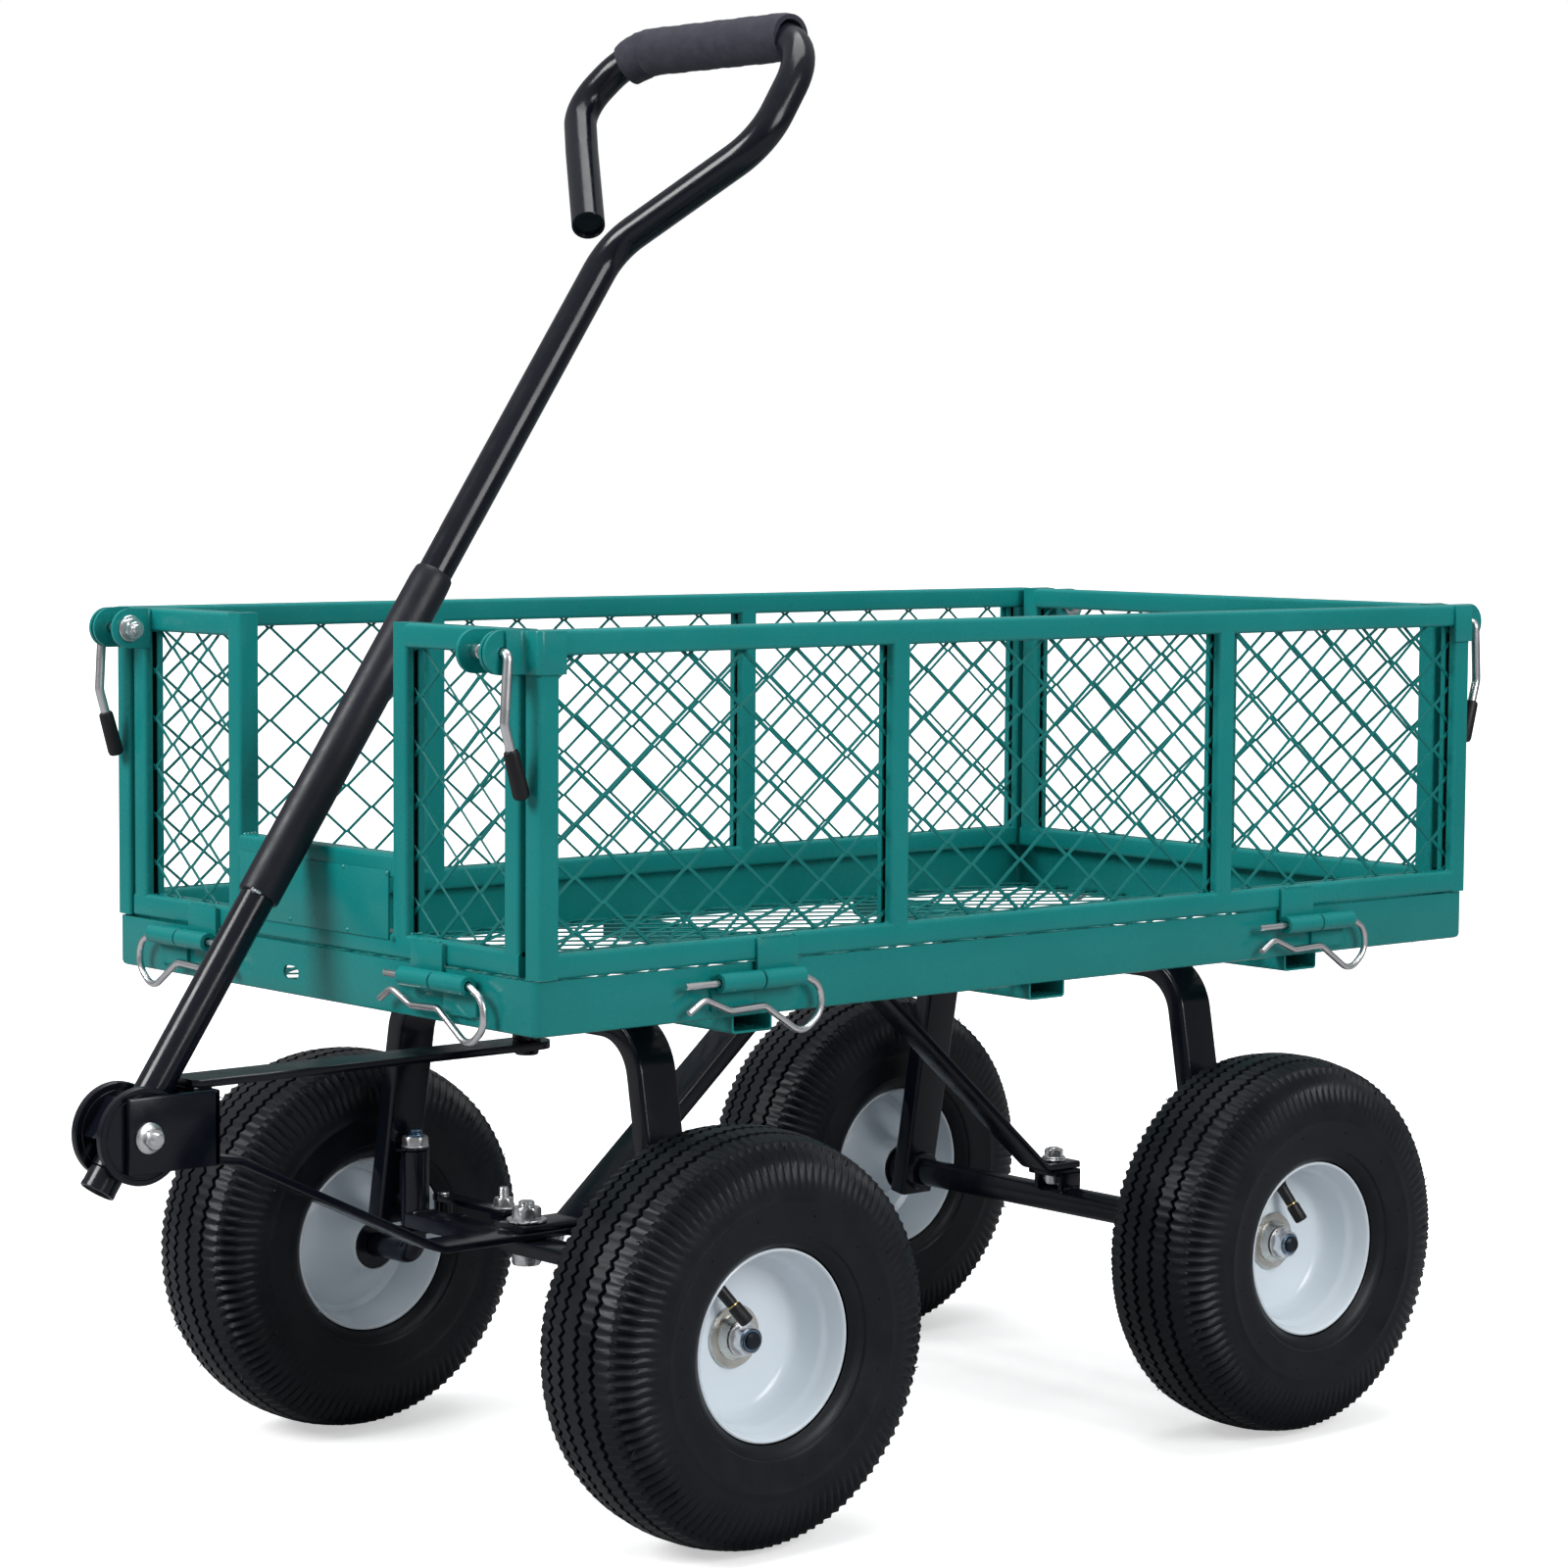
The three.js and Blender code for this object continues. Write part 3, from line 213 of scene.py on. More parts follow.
class Build:
    """Collects closed pieces of mesh, in layout millimetres, into one object."""

    def __init__(self):
        self.bm = bmesh.new()

    def grid(self, rings, closed=True, caps=True):
        """Joins rings of points; each ring is closed round."""
        made = [[self.bm.verts.new(P(*p)) for p in ring] for ring in rings]
        n = len(made[0])
        pairs = list(zip(made, made[1:]))
        if not closed:
            if caps:
                self.bm.faces.new(list(reversed(made[0])))
                self.bm.faces.new(made[-1])
        else:
            pairs.append((made[-1], made[0]))
        for a, b in pairs:
            for i in range(n):
                j = (i + 1) % n
                self.bm.faces.new((a[i], a[j], b[j], b[i]))

    def sweep(self, points, profile, side, closed=False):
        """Profile (list of (across, within)) along points; side is square to the bend plane."""
        pts = [Vector(p) for p in points]
        side = Vector(side).normalized()
        rings = []
        n = len(pts)
        for i, p in enumerate(pts):
            if closed:
                a, c = pts[(i - 1) % n], pts[(i + 1) % n]
            else:
                a, c = pts[max(0, i - 1)], pts[min(n - 1, i + 1)]
            into = (p - a).normalized() if (p - a).length > 1e-9 else (c - p).normalized()
            out = (c - p).normalized() if (c - p).length > 1e-9 else into
            t = (into + out).normalized()
            stretch = 1 / max(0.35, math.sqrt(max(1e-6, (1 + into.dot(out)) / 2)))
            b = t.cross(side).normalized() * stretch
            rings.append([tuple(p + side * u + b * v) for u, v in profile])
        self.grid(rings, closed=closed)

    def lathe(self, profile, axis, at, n=48):
        """Profile (radius, along) turned about an axis ('x','y','z') through at."""
        if len(at) == 2:
            at = {"x": (0, *at), "y": (at[0], 0, at[1]), "z": (*at, 0)}[axis]
        rings = []
        for t in turns(n):
            ring = [on_axis(axis, r * math.cos(t), r * math.sin(t), h) for r, h in profile]
            rings.append([tuple(a + b for a, b in zip(at, p)) for p in ring])
        self.grid(rings)

    def stack(self, axis, at, rings):
        """Closed bar through rings of (height, list of points round the axis)."""
        self.grid([[on_axis(axis, at[0] + c, at[1] + s, h) for c, s in ring] for h, ring in rings],
                  closed=False)

    def rod(self, axis, r, a, b, at, n=32, edge=0.4, bore=0.0):
        """Round bar with broken edges, solid or bored."""
        e = min(edge, abs(b - a) / 3)
        if bore:
            prof = [(bore, a + e * 0.5), (bore + e * 0.5, a), (r - e, a), (r, a + e), (r, b - e),
                    (r - e, b), (bore + e * 0.5, b), (bore, b - e * 0.5)]
            self.lathe(prof, axis, at, n)
            return
        steps = ((a, r - e), (a + e, r), (b - e, r), (b, r - e))
        self.stack(axis, at, [(h, round_profile(q, n)) for h, q in steps])

    def hexnut(self, axis, r, a, b, at, turn=0.0):
        """Hexagon with rounded crown."""
        rings = []
        for h, limit in ((a, 0.97), (b - (b - a) * CROWN, 0.97), (b, 0.86)):
            ring = []
            for t in turns(24):
                flat = r * math.cos(math.pi / 6) / math.cos(t % (math.pi / 3) - math.pi / 6)
                q = min(flat, r * limit)
                ring.append((q * math.cos(t + turn), q * math.sin(t + turn)))
            rings.append((h, ring if b > a else ring[::-1]))
        self.stack(axis, at, rings)

    def thread(self, axis, r, a, b, at, pitch=1.5):
        """Bolt end with thread rings."""
        n = max(2, int(abs(b - a) / pitch))
        step = (b - a) / n
        prof = [(r * 0.8, a)]
        for i in range(n):
            prof += [(r, a + step * (i + 0.1)), (r * 0.88, a + step * (i + 0.6))]
        prof.append((r * 0.8, b))
        self.stack(axis, at, [(h, round_profile(q, 20)) for q, h in prof])

    def bead(self, a, b, r=1.6, step=2.2):
        """Weld bead: a lumpy run of overlapping drops."""
        a, b = Vector(a), Vector(b)
        n = max(3, int((b - a).length / step))
        d = (b - a).normalized()
        side = d.cross(Vector((0.3, 0.5, 0.81))).normalized()
        other = d.cross(side)
        rings = []
        for i in range(n * 3 + 1):
            f = i / (n * 3)
            rr = r * (0.55 + 0.45 * abs(math.sin(f * n * math.pi))) * (0.9 + 0.2 * rng.random())
            if i in (0, n * 3):
                rr *= 0.3
            c = a.lerp(b, f)
            rings.append([tuple(c + side * rr * math.cos(k * math.pi / 4)
                                + other * rr * math.sin(k * math.pi / 4)) for k in range(8)])
        self.grid(rings, closed=False)

    def block(self, x, y, z, r=0.8):
        """Box with rounded edges."""
        lo = [min(v) for v in (x, y, z)]
        hi = [max(v) for v in (x, y, z)]
        made = bmesh.ops.create_cube(self.bm, size=1.0)["verts"]
        for v in made:
            v.co = P(*[lo[i] if v.co[i] < 0 else hi[i] for i in range(3)])
        edges = list({e for v in made for e in v.link_edges})
        bmesh.ops.bevel(self.bm, geom=edges, offset=r / 1000, segments=2, affect="EDGES",
                        profile=0.5)

    def flip(self, axis, about=0.0, geom=None):
        """Mirrors everything, or geom, across x = 0 or y = about."""
        geom = geom or self.bm.verts[:] + self.bm.faces[:]
        plane = P(0, about, 0).y
        for g in geom:
            if not isinstance(g, bmesh.types.BMVert):
                continue
            if axis == "x":
                g.co.x = -g.co.x
            else:
                g.co.y = 2 * plane - g.co.y
        faces = [g for g in geom if isinstance(g, bmesh.types.BMFace)]
        bmesh.ops.reverse_faces(self.bm, faces=faces)

    def absorb(self, other):
        me = other.to_mesh("part")
        self.bm.from_mesh(me)
        bpy.data.meshes.remove(me)

    def to_mesh(self, name):
        me = bpy.data.meshes.new(name)
        self.bm.to_mesh(me)
        self.bm.free()
        return me

    def to_object(self, name, material, body, replaces=(), slot=None, sharp=35, right=False):
        """Finished piece; right mirrors it to the cart's right side."""
        if right:
            self.flip("x")
        bmesh.ops.recalc_face_normals(self.bm, faces=self.bm.faces[:])
        me = self.to_mesh(name)
        for poly in me.polygons:
            poly.use_smooth = True
        me.set_sharp_from_angle(angle=math.radians(sharp))
        me.materials.append(material)
        ob = link(name, me)
        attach(ob, body)
        if replaces:
            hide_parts(*replaces)
        return ob


def round_profile(r, n=20):
    return [(r * math.cos(t), r * math.sin(t)) for t in turns(n)]


def ring_of(centre, u, v, r, n):
    """n points round the centre in the plane of u and v."""
    return [tuple(centre + (u * math.cos(t) + v * math.sin(t)) * r) for t in turns(n)]


def rect_profile(w, t, r, n=4):
    """Rounded rectangle: w across the bend plane, t within it."""
    pts = []
    for cx, cy, a0 in ((w / 2 - r, t / 2 - r, 0), (-w / 2 + r, t / 2 - r, 90),
                       (-w / 2 + r, -t / 2 + r, 180), (w / 2 - r, -t / 2 + r, 270)):
        for i in range(n + 1):
            a = math.radians(a0 + 90 * i / n)
            pts.append((cx + r * math.cos(a), cy + r * math.sin(a)))
    return pts


def fillet(corners, radius, n=10):
    """Corner points rounded by true arcs."""
    pts = [Vector(corners[0])]
    radii = radius if isinstance(radius, (list, tuple)) else [radius] * (len(corners) - 2)
    for i in range(1, len(corners) - 1):
        p, a, c = Vector(corners[i]), Vector(corners[i - 1]), Vector(corners[i + 1])
        u, v = (a - p).normalized(), (c - p).normalized()
        half = math.acos(max(-1, min(1, u.dot(v)))) / 2
        reach = min(radii[i - 1] / math.tan(half), 0.49 * (a - p).length, 0.49 * (c - p).length)
        r = reach * math.tan(half)
        mid = (u + v).normalized()
        o = p + mid * (r / math.sin(half))
        s, e = p + u * reach - o, p + v * reach - o
        ang = s.angle(e)
        for k in range(n + 1):
            f = k / n
            w = (math.sin((1 - f) * ang) * s + math.sin(f * ang) * e) / math.sin(ang)
            pts.append(o + w)
    pts.append(Vector(corners[-1]))
    return pts


# ------------------------------------------------------------------ shared sizes, from the frame
TRAY_X = 225.5
TRAY_Y = (2 * MID_Y - 661, 661)
TRAY_Z = (329, 361.7)
RAIL_Z = (362.7, 565)
T = 15
SIDE_X = (213, 228)
END_X = 208
SIDES = (("left", 1), ("right", -1))
FACE_Y = -165
PANEL_Y = (-165, 660)
POSTS_Y = {"left": (117, 411), "right": (84, 369)}
SLOT_W, SLOT_WALL, SLOT_DEEP = 3.8, 1.3, 6.6
HALF_HOLLOW = T / 2 - 3.2
BARREL_R, BARREL_BORE = 6, 2.9
SIDE_SLOT_X = 220.0
NOTCH_RAIL_Z = 417.7
SIDE_PIN = (234, 352)
END_PIN_Z = 355
FRONT_PIN_Y = -174


# ------------------------------------------------------------------ expanded metal
def expanded(name, body, node, u, v, plane, pitch, knot_at, axis="x", skew=0.0, strand=1.0,
             thick=0.85, tilt=0.3):
    """Diamond lattice cut to a rectangle. One knot falls on knot_at; plane is the coordinate
    along the sheet's normal; skew is the lattice's rise along its length."""
    bm = bmesh.new()
    pu, pv = pitch
    hu, hv = pu / 2, pv / 2
    inscribed = hu * hv / math.hypot(hu, hv)
    k = (inscribed - strand / 2) / inscribed
    knot = 3.4
    cache = {}

    def vert(i, j, which):
        key = (i, j, which)
        if key not in cache:
            cu = knot_at[0] + i * hu
            cv = knot_at[1] + (j + 1) * hv + skew * i * hu
            du, dv, h = {"l": (-hu * k + knot * 0.5, 0, 0), "r": (hu * k - knot * 0.5, 0, 0),
                         "t": (0, hv * k, tilt), "b": (0, -hv * k, -tilt)}[which]
            cache[key] = bm.verts.new((cu + du, cv + dv, h))
        return cache[key]

    def face(*keys):
        bm.faces.new([vert(*key) for key in keys])

    ni0, ni1 = int((u[0] - knot_at[0]) // hu) - 3, int((u[1] - knot_at[0]) // hu) + 4
    nj0, nj1 = int((v[0] - knot_at[1]) // hv) - 5, int((v[1] - knot_at[1]) // hv) + 5
    for i in range(ni0, ni1):
        for j in range(nj0, nj1):
            if (i + j) % 2:
                # a knot: four holes meet at this lattice point
                face((i - 1, j, "r"), (i, j - 1, "t"), (i + 1, j, "l"), (i, j + 1, "b"))
                continue
            # strands on the upper right and upper left of hole (i, j)
            face((i, j, "r"), (i + 1, j + 1, "b"), (i + 1, j + 1, "l"), (i, j, "t"))
            face((i, j, "t"), (i - 1, j + 1, "r"), (i - 1, j + 1, "b"), (i, j, "l"))
    for co, no in (((u[0], 0, 0), (-1, 0, 0)), ((u[1], 0, 0), (1, 0, 0)),
                   ((0, v[0], 0), (0, -1, 0)), ((0, v[1], 0), (0, 1, 0))):
        geom = bm.verts[:] + bm.edges[:] + bm.faces[:]
        bmesh.ops.bisect_plane(bm, geom=geom, plane_co=co, plane_no=no, clear_outer=True)
    for w in bm.verts:
        a, b, c = w.co
        w.co = {"x": P(plane + c, a, b), "y": P(a, plane + c, b), "z": P(a, b, plane + c)}[axis]
    bmesh.ops.recalc_face_normals(bm, faces=bm.faces[:])
    me = bpy.data.meshes.new(name)
    bm.to_mesh(me)
    bm.free()
    # the strands take the darkened green, which is painted shade
    me.materials.append(STRAND)
    ob = link(name, me)
    solid = ob.modifiers.new("thickness", "SOLIDIFY")
    solid.thickness = thick / 1000
    solid.offset = 0
    soft = ob.modifiers.new("soft_edges", "BEVEL")
    soft.width = 0.0004
    soft.segments = 1
    soft.limit_method = "ANGLE"
    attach(ob, body)
    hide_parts(node)


def all_mesh_sheets():
    z = (RAIL_Z[0] + 11, RAIL_Z[1] - 11)
    y = (PANEL_Y[0] + 11, PANEL_Y[1] - 11)
    end_plane = FACE_Y + T / 2
    expanded("side_mesh_left", "side_panel_left", "side_panel_left_mesh", y, z, SIDE_SLOT_X,
             (42.5, 31.6), (-112.4, 531), skew=0.0146)
    expanded("side_mesh_right", "side_panel_right", "side_panel_right_mesh", y, z, -SIDE_SLOT_X,
             (41.8, 31.3), (325.9, 548.5))
    expanded("front_mesh_left", "chassis", "front_panel_mesh_left", (93.5, 196.5), z, end_plane,
             (39.9, 31.6), (120.8, 536.2), "y", skew=-0.034)
    expanded("front_mesh_right", "chassis", "front_panel_mesh_right", (-196.5, -93.5), z, end_plane,
             (41.8, 31.4), (-130.0, 540.0), "y", skew=0.01)
    expanded("rear_mesh", "rear_panel", "rear_panel_mesh", (-196.5, 196.5), z,
             2 * MID_Y - end_plane, (42.0, 31.6), (12.0, 538.0), "y")
    expanded("floor_mesh", "chassis", "bed_floor_mesh", (-TRAY_X + 3, TRAY_X - 3),
             (TRAY_Y[0] + 3, TRAY_Y[1] - 3), 332.4, (31.6, 42.0), (0, 0), "z", strand=1.7,
             thick=1.3)


all_mesh_sheets()


# ------------------------------------------------------------------ panels
def slotted_profile(faces, shift):
    """Square tube's outline with a slot that opens into the hollow on the named faces."""
    half, w, deep = T / 2, SLOT_W / 2, HALF_HOLLOW
    notch = [(w, 0), (w, -SLOT_WALL), (deep, -SLOT_WALL), (deep, -SLOT_DEEP),
             (-deep, -SLOT_DEEP), (-deep, -SLOT_WALL), (-w, -SLOT_WALL), (-w, 0)]
    plain = rect_profile(T, T, 2.6)
    n = len(plain) // 4
    pts = []
    for k, face in enumerate(("v+", "u-", "v-", "u+")):
        pts += plain[k * n:(k + 1) * n]
        if face not in faces:
            continue
        for a, d in notch:
            d += half
            pts.append({"v+": (shift + a, d), "u-": (-d, shift + a),
                        "v-": (shift - a, -d), "u+": (d, shift - a)}[face])
    return pts


LAP = 2.6          # how far a tube runs into the rounded edge of the one it meets


def square_tube(b, axis, a0, a1, c1, c2, slots=(), shift=0.0, shade=None):
    """15 mm square tube along axis from a0 to a1, centred on the other two coordinates. Dark
    blocks of painted shade for the slots' hollows go into shade."""
    prof = slotted_profile(slots, shift)
    if axis == "x":
        b.sweep([(a0, c1, c2), (a1, c1, c2)], prof, (0, 1, 0))
    elif axis == "y":
        b.sweep([(c1, a0, c2), (c1, a1, c2)], prof, (1, 0, 0))
    else:
        b.sweep([(c1, c2, a0), (c1, c2, a1)], prof, (1, 0, 0))
    w = SLOT_W / 2 + 0.9
    along = (a0 + 0.6, a1 - 0.6)
    for face in slots:
        far = 1 if face[1] == "+" else -1
        if axis == "y":
            far = -far
        deep = sorted((far * (T / 2 - SLOT_WALL - 0.2), far * (T / 2 - SLOT_WALL - 1.8)))
        level = (shift - w, shift + w)
        first, second = (level, deep) if face[0] == "v" else (deep, level)
        first = tuple(c1 + v for v in first)
        second = tuple(c2 + v for v in second)
        box = {"x": (along, first, second), "y": (first, along, second),
               "z": (first, second, along)}[axis]
        # painted shade: a dark block inside the hollow behind the slot's mouth
        shade.block(*box, 0.1)


LOW_Z = RAIL_Z[0] + T / 2
TOP_Z = RAIL_Z[1] - T / 2


def hinge_panel_leaf(b, axis, span):
    """Leaf and barrel on the panel."""
    weld_z = RAIL_Z[0] + 14
    u0, u1 = span[0] + 2, span[1] - 2
    if axis == "y":
        b.block((SIDE_X[1] - 0.3, SIDE_X[1] + 2.4), span, (SIDE_PIN[1] + 3, weld_z), 0.7)
        b.rod("y", BARREL_R, *span, SIDE_PIN, 28, 0.5, bore=BARREL_BORE)
        b.bead((SIDE_X[1] + 1.6, u0, weld_z), (SIDE_X[1] + 1.6, u1, weld_z), 1.3)
    else:
        b.block(span, (FACE_Y - 3.6, FACE_Y - 1.2), (END_PIN_Z + 2, weld_z), 0.7)
        b.block(span, (FACE_Y - 2, FACE_Y + 0.5), (RAIL_Z[0] + 1, RAIL_Z[0] + 13), 0.5)
        b.rod("x", BARREL_R, *span, (FRONT_PIN_Y, END_PIN_Z), 28, 0.5, bore=BARREL_BORE)
        b.bead((u0, FACE_Y - 2.4, weld_z), (u1, FACE_Y - 2.4, weld_z), 1.3)


def hinge_tray_leaf(b, axis, span):
    if axis == "y":
        b.block((TRAY_X - 0.3, TRAY_X + 2.6), span, (334, SIDE_PIN[1] - 2.4), 0.7)
        b.block((TRAY_X + 0.8, SIDE_PIN[0] - 1), span, (SIDE_PIN[1] - 5.2, SIDE_PIN[1] - 2.8), 0.6)
        b.rod("y", BARREL_R, *span, SIDE_PIN, 28, 0.5, bore=BARREL_BORE)
        b.bead((TRAY_X + 1.8, span[0] + 2, 334), (TRAY_X + 1.8, span[1] - 2, 334), 1.3)
    else:
        f = TRAY_Y[0]
        b.block(span, (f - 2.6, f + 0.3), (336, END_PIN_Z - 2.4), 0.7)
        b.block(span, (FRONT_PIN_Y + 1, f - 0.8), (END_PIN_Z - 5.2, END_PIN_Z - 2.8), 0.6)
        b.rod("x", BARREL_R, *span, (FRONT_PIN_Y, END_PIN_Z), 28, 0.5, bore=BARREL_BORE)
        b.bead((span[0] + 2, f - 1.8, 336), (span[1] - 2, f - 1.8, 336), 1.3)


def ear_plate(b, x, y, z, r, back, thick=2.5):
    """Rounded pierced plate standing on the post's face, normal along X."""
    outer, inner = [], []
    n = 28
    for i in range(n + 1):
        a = math.pi / 2 + math.pi * i / n
        outer.append((y + r * math.cos(a), z + r * math.sin(a)))
    loop = outer + [(back, z - r), (back, z + r)]
    hole = [(y + u, z + v) for u, v in round_profile(3.5, 24)]
    front, rear, hf, hr = [[b.bm.verts.new(P(at, *p)) for p in ring]
                           for ring in (loop, hole) for at in (x, x + thick)]
    for la, lb in ((front, rear), (hf, hr)):
        for i in range(len(la)):
            j = (i + 1) % len(la)
            b.bm.faces.new((la[i], la[j], lb[j], lb[i]))
    for face in ((front, hf), (rear, hr)):
        edges = []
        for ring in face:
            for e in zip(ring, ring[1:] + ring[:1]):
                edges.append(b.bm.edges.get(e) or b.bm.edges.new(e))
        bmesh.ops.triangle_fill(b.bm, edges=edges, use_beauty=True)


LATCH = (FACE_Y - 16, 552)
EARS = (185.4, 187.9, 207.8, 210.2)      # faces of the two pierced ears, along X


def corner_bracket(b):
    """Bent plate that wraps the post's top and carries the outer ear."""
    mid = LATCH[1]
    path = [(215.3, FACE_Y - 15), (215.3, FACE_Y - 1), (SIDE_X[1] + 1, FACE_Y - 1),
            (SIDE_X[1] + 1, FACE_Y + 18)]
    pts = fillet([(x, y, mid) for x, y in path], [4, 3.2], 6)
    b.sweep(pts, rect_profile(25.4, 2.0, 0.6, 2), (0, 0, 1))
    ear_plate(b, 211.6, LATCH[0], LATCH[1], 13, FACE_Y - 0.6)
    b.bead((212.6, FACE_Y - 2.2, 541), (212.6, FACE_Y - 2.2, 563), 1.2)


def side_panel(side, s):
    b, dark = Build(), Build()
    cx = (SIDE_X[0] + SIDE_X[1]) / 2
    off = SIDE_SLOT_X - cx
    y0, y1 = PANEL_Y

    def tube(*where, faces=()):
        square_tube(b, *where, faces, off, dark)

    tube("y", y0 + T - LAP, y1 - T + LAP, cx, LOW_Z, faces=("v-",))
    tube("y", y0 + T, y1 - T, cx, TOP_Z, faces=("v+",))
    for y, face in ((y0 + T / 2, "v+"), (y1 - T / 2, "v-")):
        tube("y", y - T / 2, y + T / 2, cx, TOP_Z)
        tube("z", RAIL_Z[0], TOP_Z - T / 2, cx, y, faces=(face,))
    for y in POSTS_Y[side]:
        tube("z", LOW_Z + T / 2 - LAP, TOP_Z - T / 2 + LAP, cx, y, faces=("v+", "v-"))
        for z in (LOW_Z + T / 2, TOP_Z - T / 2):
            b.bead((SIDE_X[1] - 1, y - 6, z), (SIDE_X[1] - 1, y + 6, z), 1.0)
            for dy in (-7.5, 7.5):
                b.bead((SIDE_X[0] + 9, y + dy, z), (SIDE_X[1] - 3, y + dy, z), 1.1)
    for y in (y0 + T, y1 - T):
        for z in (LOW_Z + T / 2, TOP_Z - T / 2):
            b.bead((SIDE_X[0] + 9, y, z), (SIDE_X[1] - 2, y, z), 1.2)
    hinge_panel_leaf(b, "y", (-1.5, 31))
    hinge_panel_leaf(b, "y", (465, 497.5))
    mark = len(b.bm.verts)
    corner_bracket(b)
    b.bm.verts.ensure_lookup_table()
    extra = b.bm.verts[mark:]
    faces = list({f for v in extra for f in v.link_faces})
    edges = list({e for v in extra for e in v.link_edges})
    made = bmesh.ops.duplicate(b.bm, geom=list(extra) + edges + faces)["geom"]
    b.flip("y", MID_Y, made)
    body, node = f"side_panel_{side}", [f"side_panel_{side}_frame"]
    b.to_object(f"side_frame_{side}", GREEN, body, node, "green_paint", right=s < 0)
    # the dark builder holds the painted shade blocks for the slots' hollows
    dark.to_object(f"side_slots_{side}", SHADE, body, node, right=s < 0)


def spot_welds(b, places, y, r=1.7):
    for x, z in places:
        b.lathe([(0.05, 0), (0.05, -0.8), (r * 0.6, -0.6), (r, 0), (r, 0.3), (0.05, 0.3)], "y",
                (x, y, z), 14)


def latch_yoke(b, s):
    """U-shaped bracket on the front face of a corner post: a base and two pierced ears."""
    z = LATCH[1]
    b.block((s * EARS[0], s * (EARS[3])), (FACE_Y - 2.4, FACE_Y + 0.2), (z - 12.8, z + 12.8), 0.6)
    for lo_x, hi_x in (EARS[:2], EARS[2:]):
        ear_plate(b, lo_x if s > 0 else -hi_x, LATCH[0], z, 12.8, FACE_Y - 2, hi_x - lo_x)


def end_panel(name, body, node, posts, rails, rear):
    b, dark = Build(), Build()
    cy = FACE_Y + T / 2
    inner = END_X - T

    def tube(*where, faces=()):
        square_tube(b, *where, faces, 0, dark)

    tube("x", -END_X, -inner, cy, LOW_Z)
    tube("x", inner, END_X, cy, LOW_Z)
    if rear:
        tube("x", -inner, inner, cy, LOW_Z, faces=("v+",))
    else:
        tube("x", -97, 97, cy, LOW_Z)
        tube("x", 97, inner, cy, LOW_Z, faces=("v+",))
        tube("x", -inner, -97, cy, LOW_Z, faces=("v+",))
    for x, face in ((-END_X + T / 2, "u+"), (END_X - T / 2, "u-")):
        tube("z", RAIL_Z[0] + T - LAP, RAIL_Z[1] - T, x, cy, faces=(face,))
        tube("z", RAIL_Z[1] - T, RAIL_Z[1], x, cy)
    for x in posts:
        faces = ("u+", "u-") if rear else ("u+",) if x > 0 else ("u-",)
        tube("z", RAIL_Z[0] + T - LAP, TOP_Z - T / 2, x, cy, faces=faces)
        if not rear:
            tube("z", RAIL_Z[1] - T, RAIL_Z[1], x, cy)
        for dx in (-7.5, 7.5):
            b.bead((x + dx, FACE_Y + 3, LOW_Z + T / 2), (x + dx, FACE_Y + 12, LOW_Z + T / 2), 1.3)
    for x0, x1, z in rails:
        tube("x", x0 - LAP, x1 + LAP, cy, z, faces=("v-",) if z == TOP_Z else ())
        for x in (x0, x1):
            b.bead((x, FACE_Y + 0.6, z - 5), (x, FACE_Y + 0.6, z + 5), 0.9)
            b.bead((x, FACE_Y + 3, z - 7.4), (x, FACE_Y + 12, z - 7.4), 1.3)
    for s in (1, -1):
        hinge_panel_leaf(b, "x", sorted((s * 105.8, s * 137.8)))
        latch_yoke(b, s)
    if not rear:
        b.block((-81.5, 80), (FACE_Y - 1.2, FACE_Y + 0.2), (373.5, 415.2), 0.4)
        spot_welds(b, ((32.7, 413.8), (78.5, 413.4), (-24.7, 376.4), (36.9, 375.4), (-60, 413.8)),
                   FACE_Y - 1.2)
        for s in (1, -1):
            b.bead((s * 82.5, FACE_Y + 1, 374), (s * 86, FACE_Y - 0.4, 374.5), 2.0)
            b.bead((s * 82, FACE_Y + 2, 425), (s * 82, FACE_Y + 12, 425), 1.5)
    if rear:
        b.flip("y", MID_Y)
        dark.flip("y", MID_Y)
    b.to_object(name, GREEN, body, [node], "green_paint")
    # the dark builder holds the painted shade blocks for the slots' hollows
    dark.to_object(name + "_slots", SHADE, body, [node])


side_panel("left", 1)
side_panel("right", -1)
end_panel("front_frame", "chassis", "front_panel_frame", (-89.5, 89.5),
          ((97, END_X - T, TOP_Z), (-END_X + T, -97, TOP_Z), (-82, 82, NOTCH_RAIL_Z)), False)
end_panel("rear_frame", "rear_panel", "rear_panel_frame", (0,),
          ((-END_X + T, END_X - T, TOP_Z),), True)


# ------------------------------------------------------------------ tray
CROSS_Z = 324.4         # middle of the three cross tubes


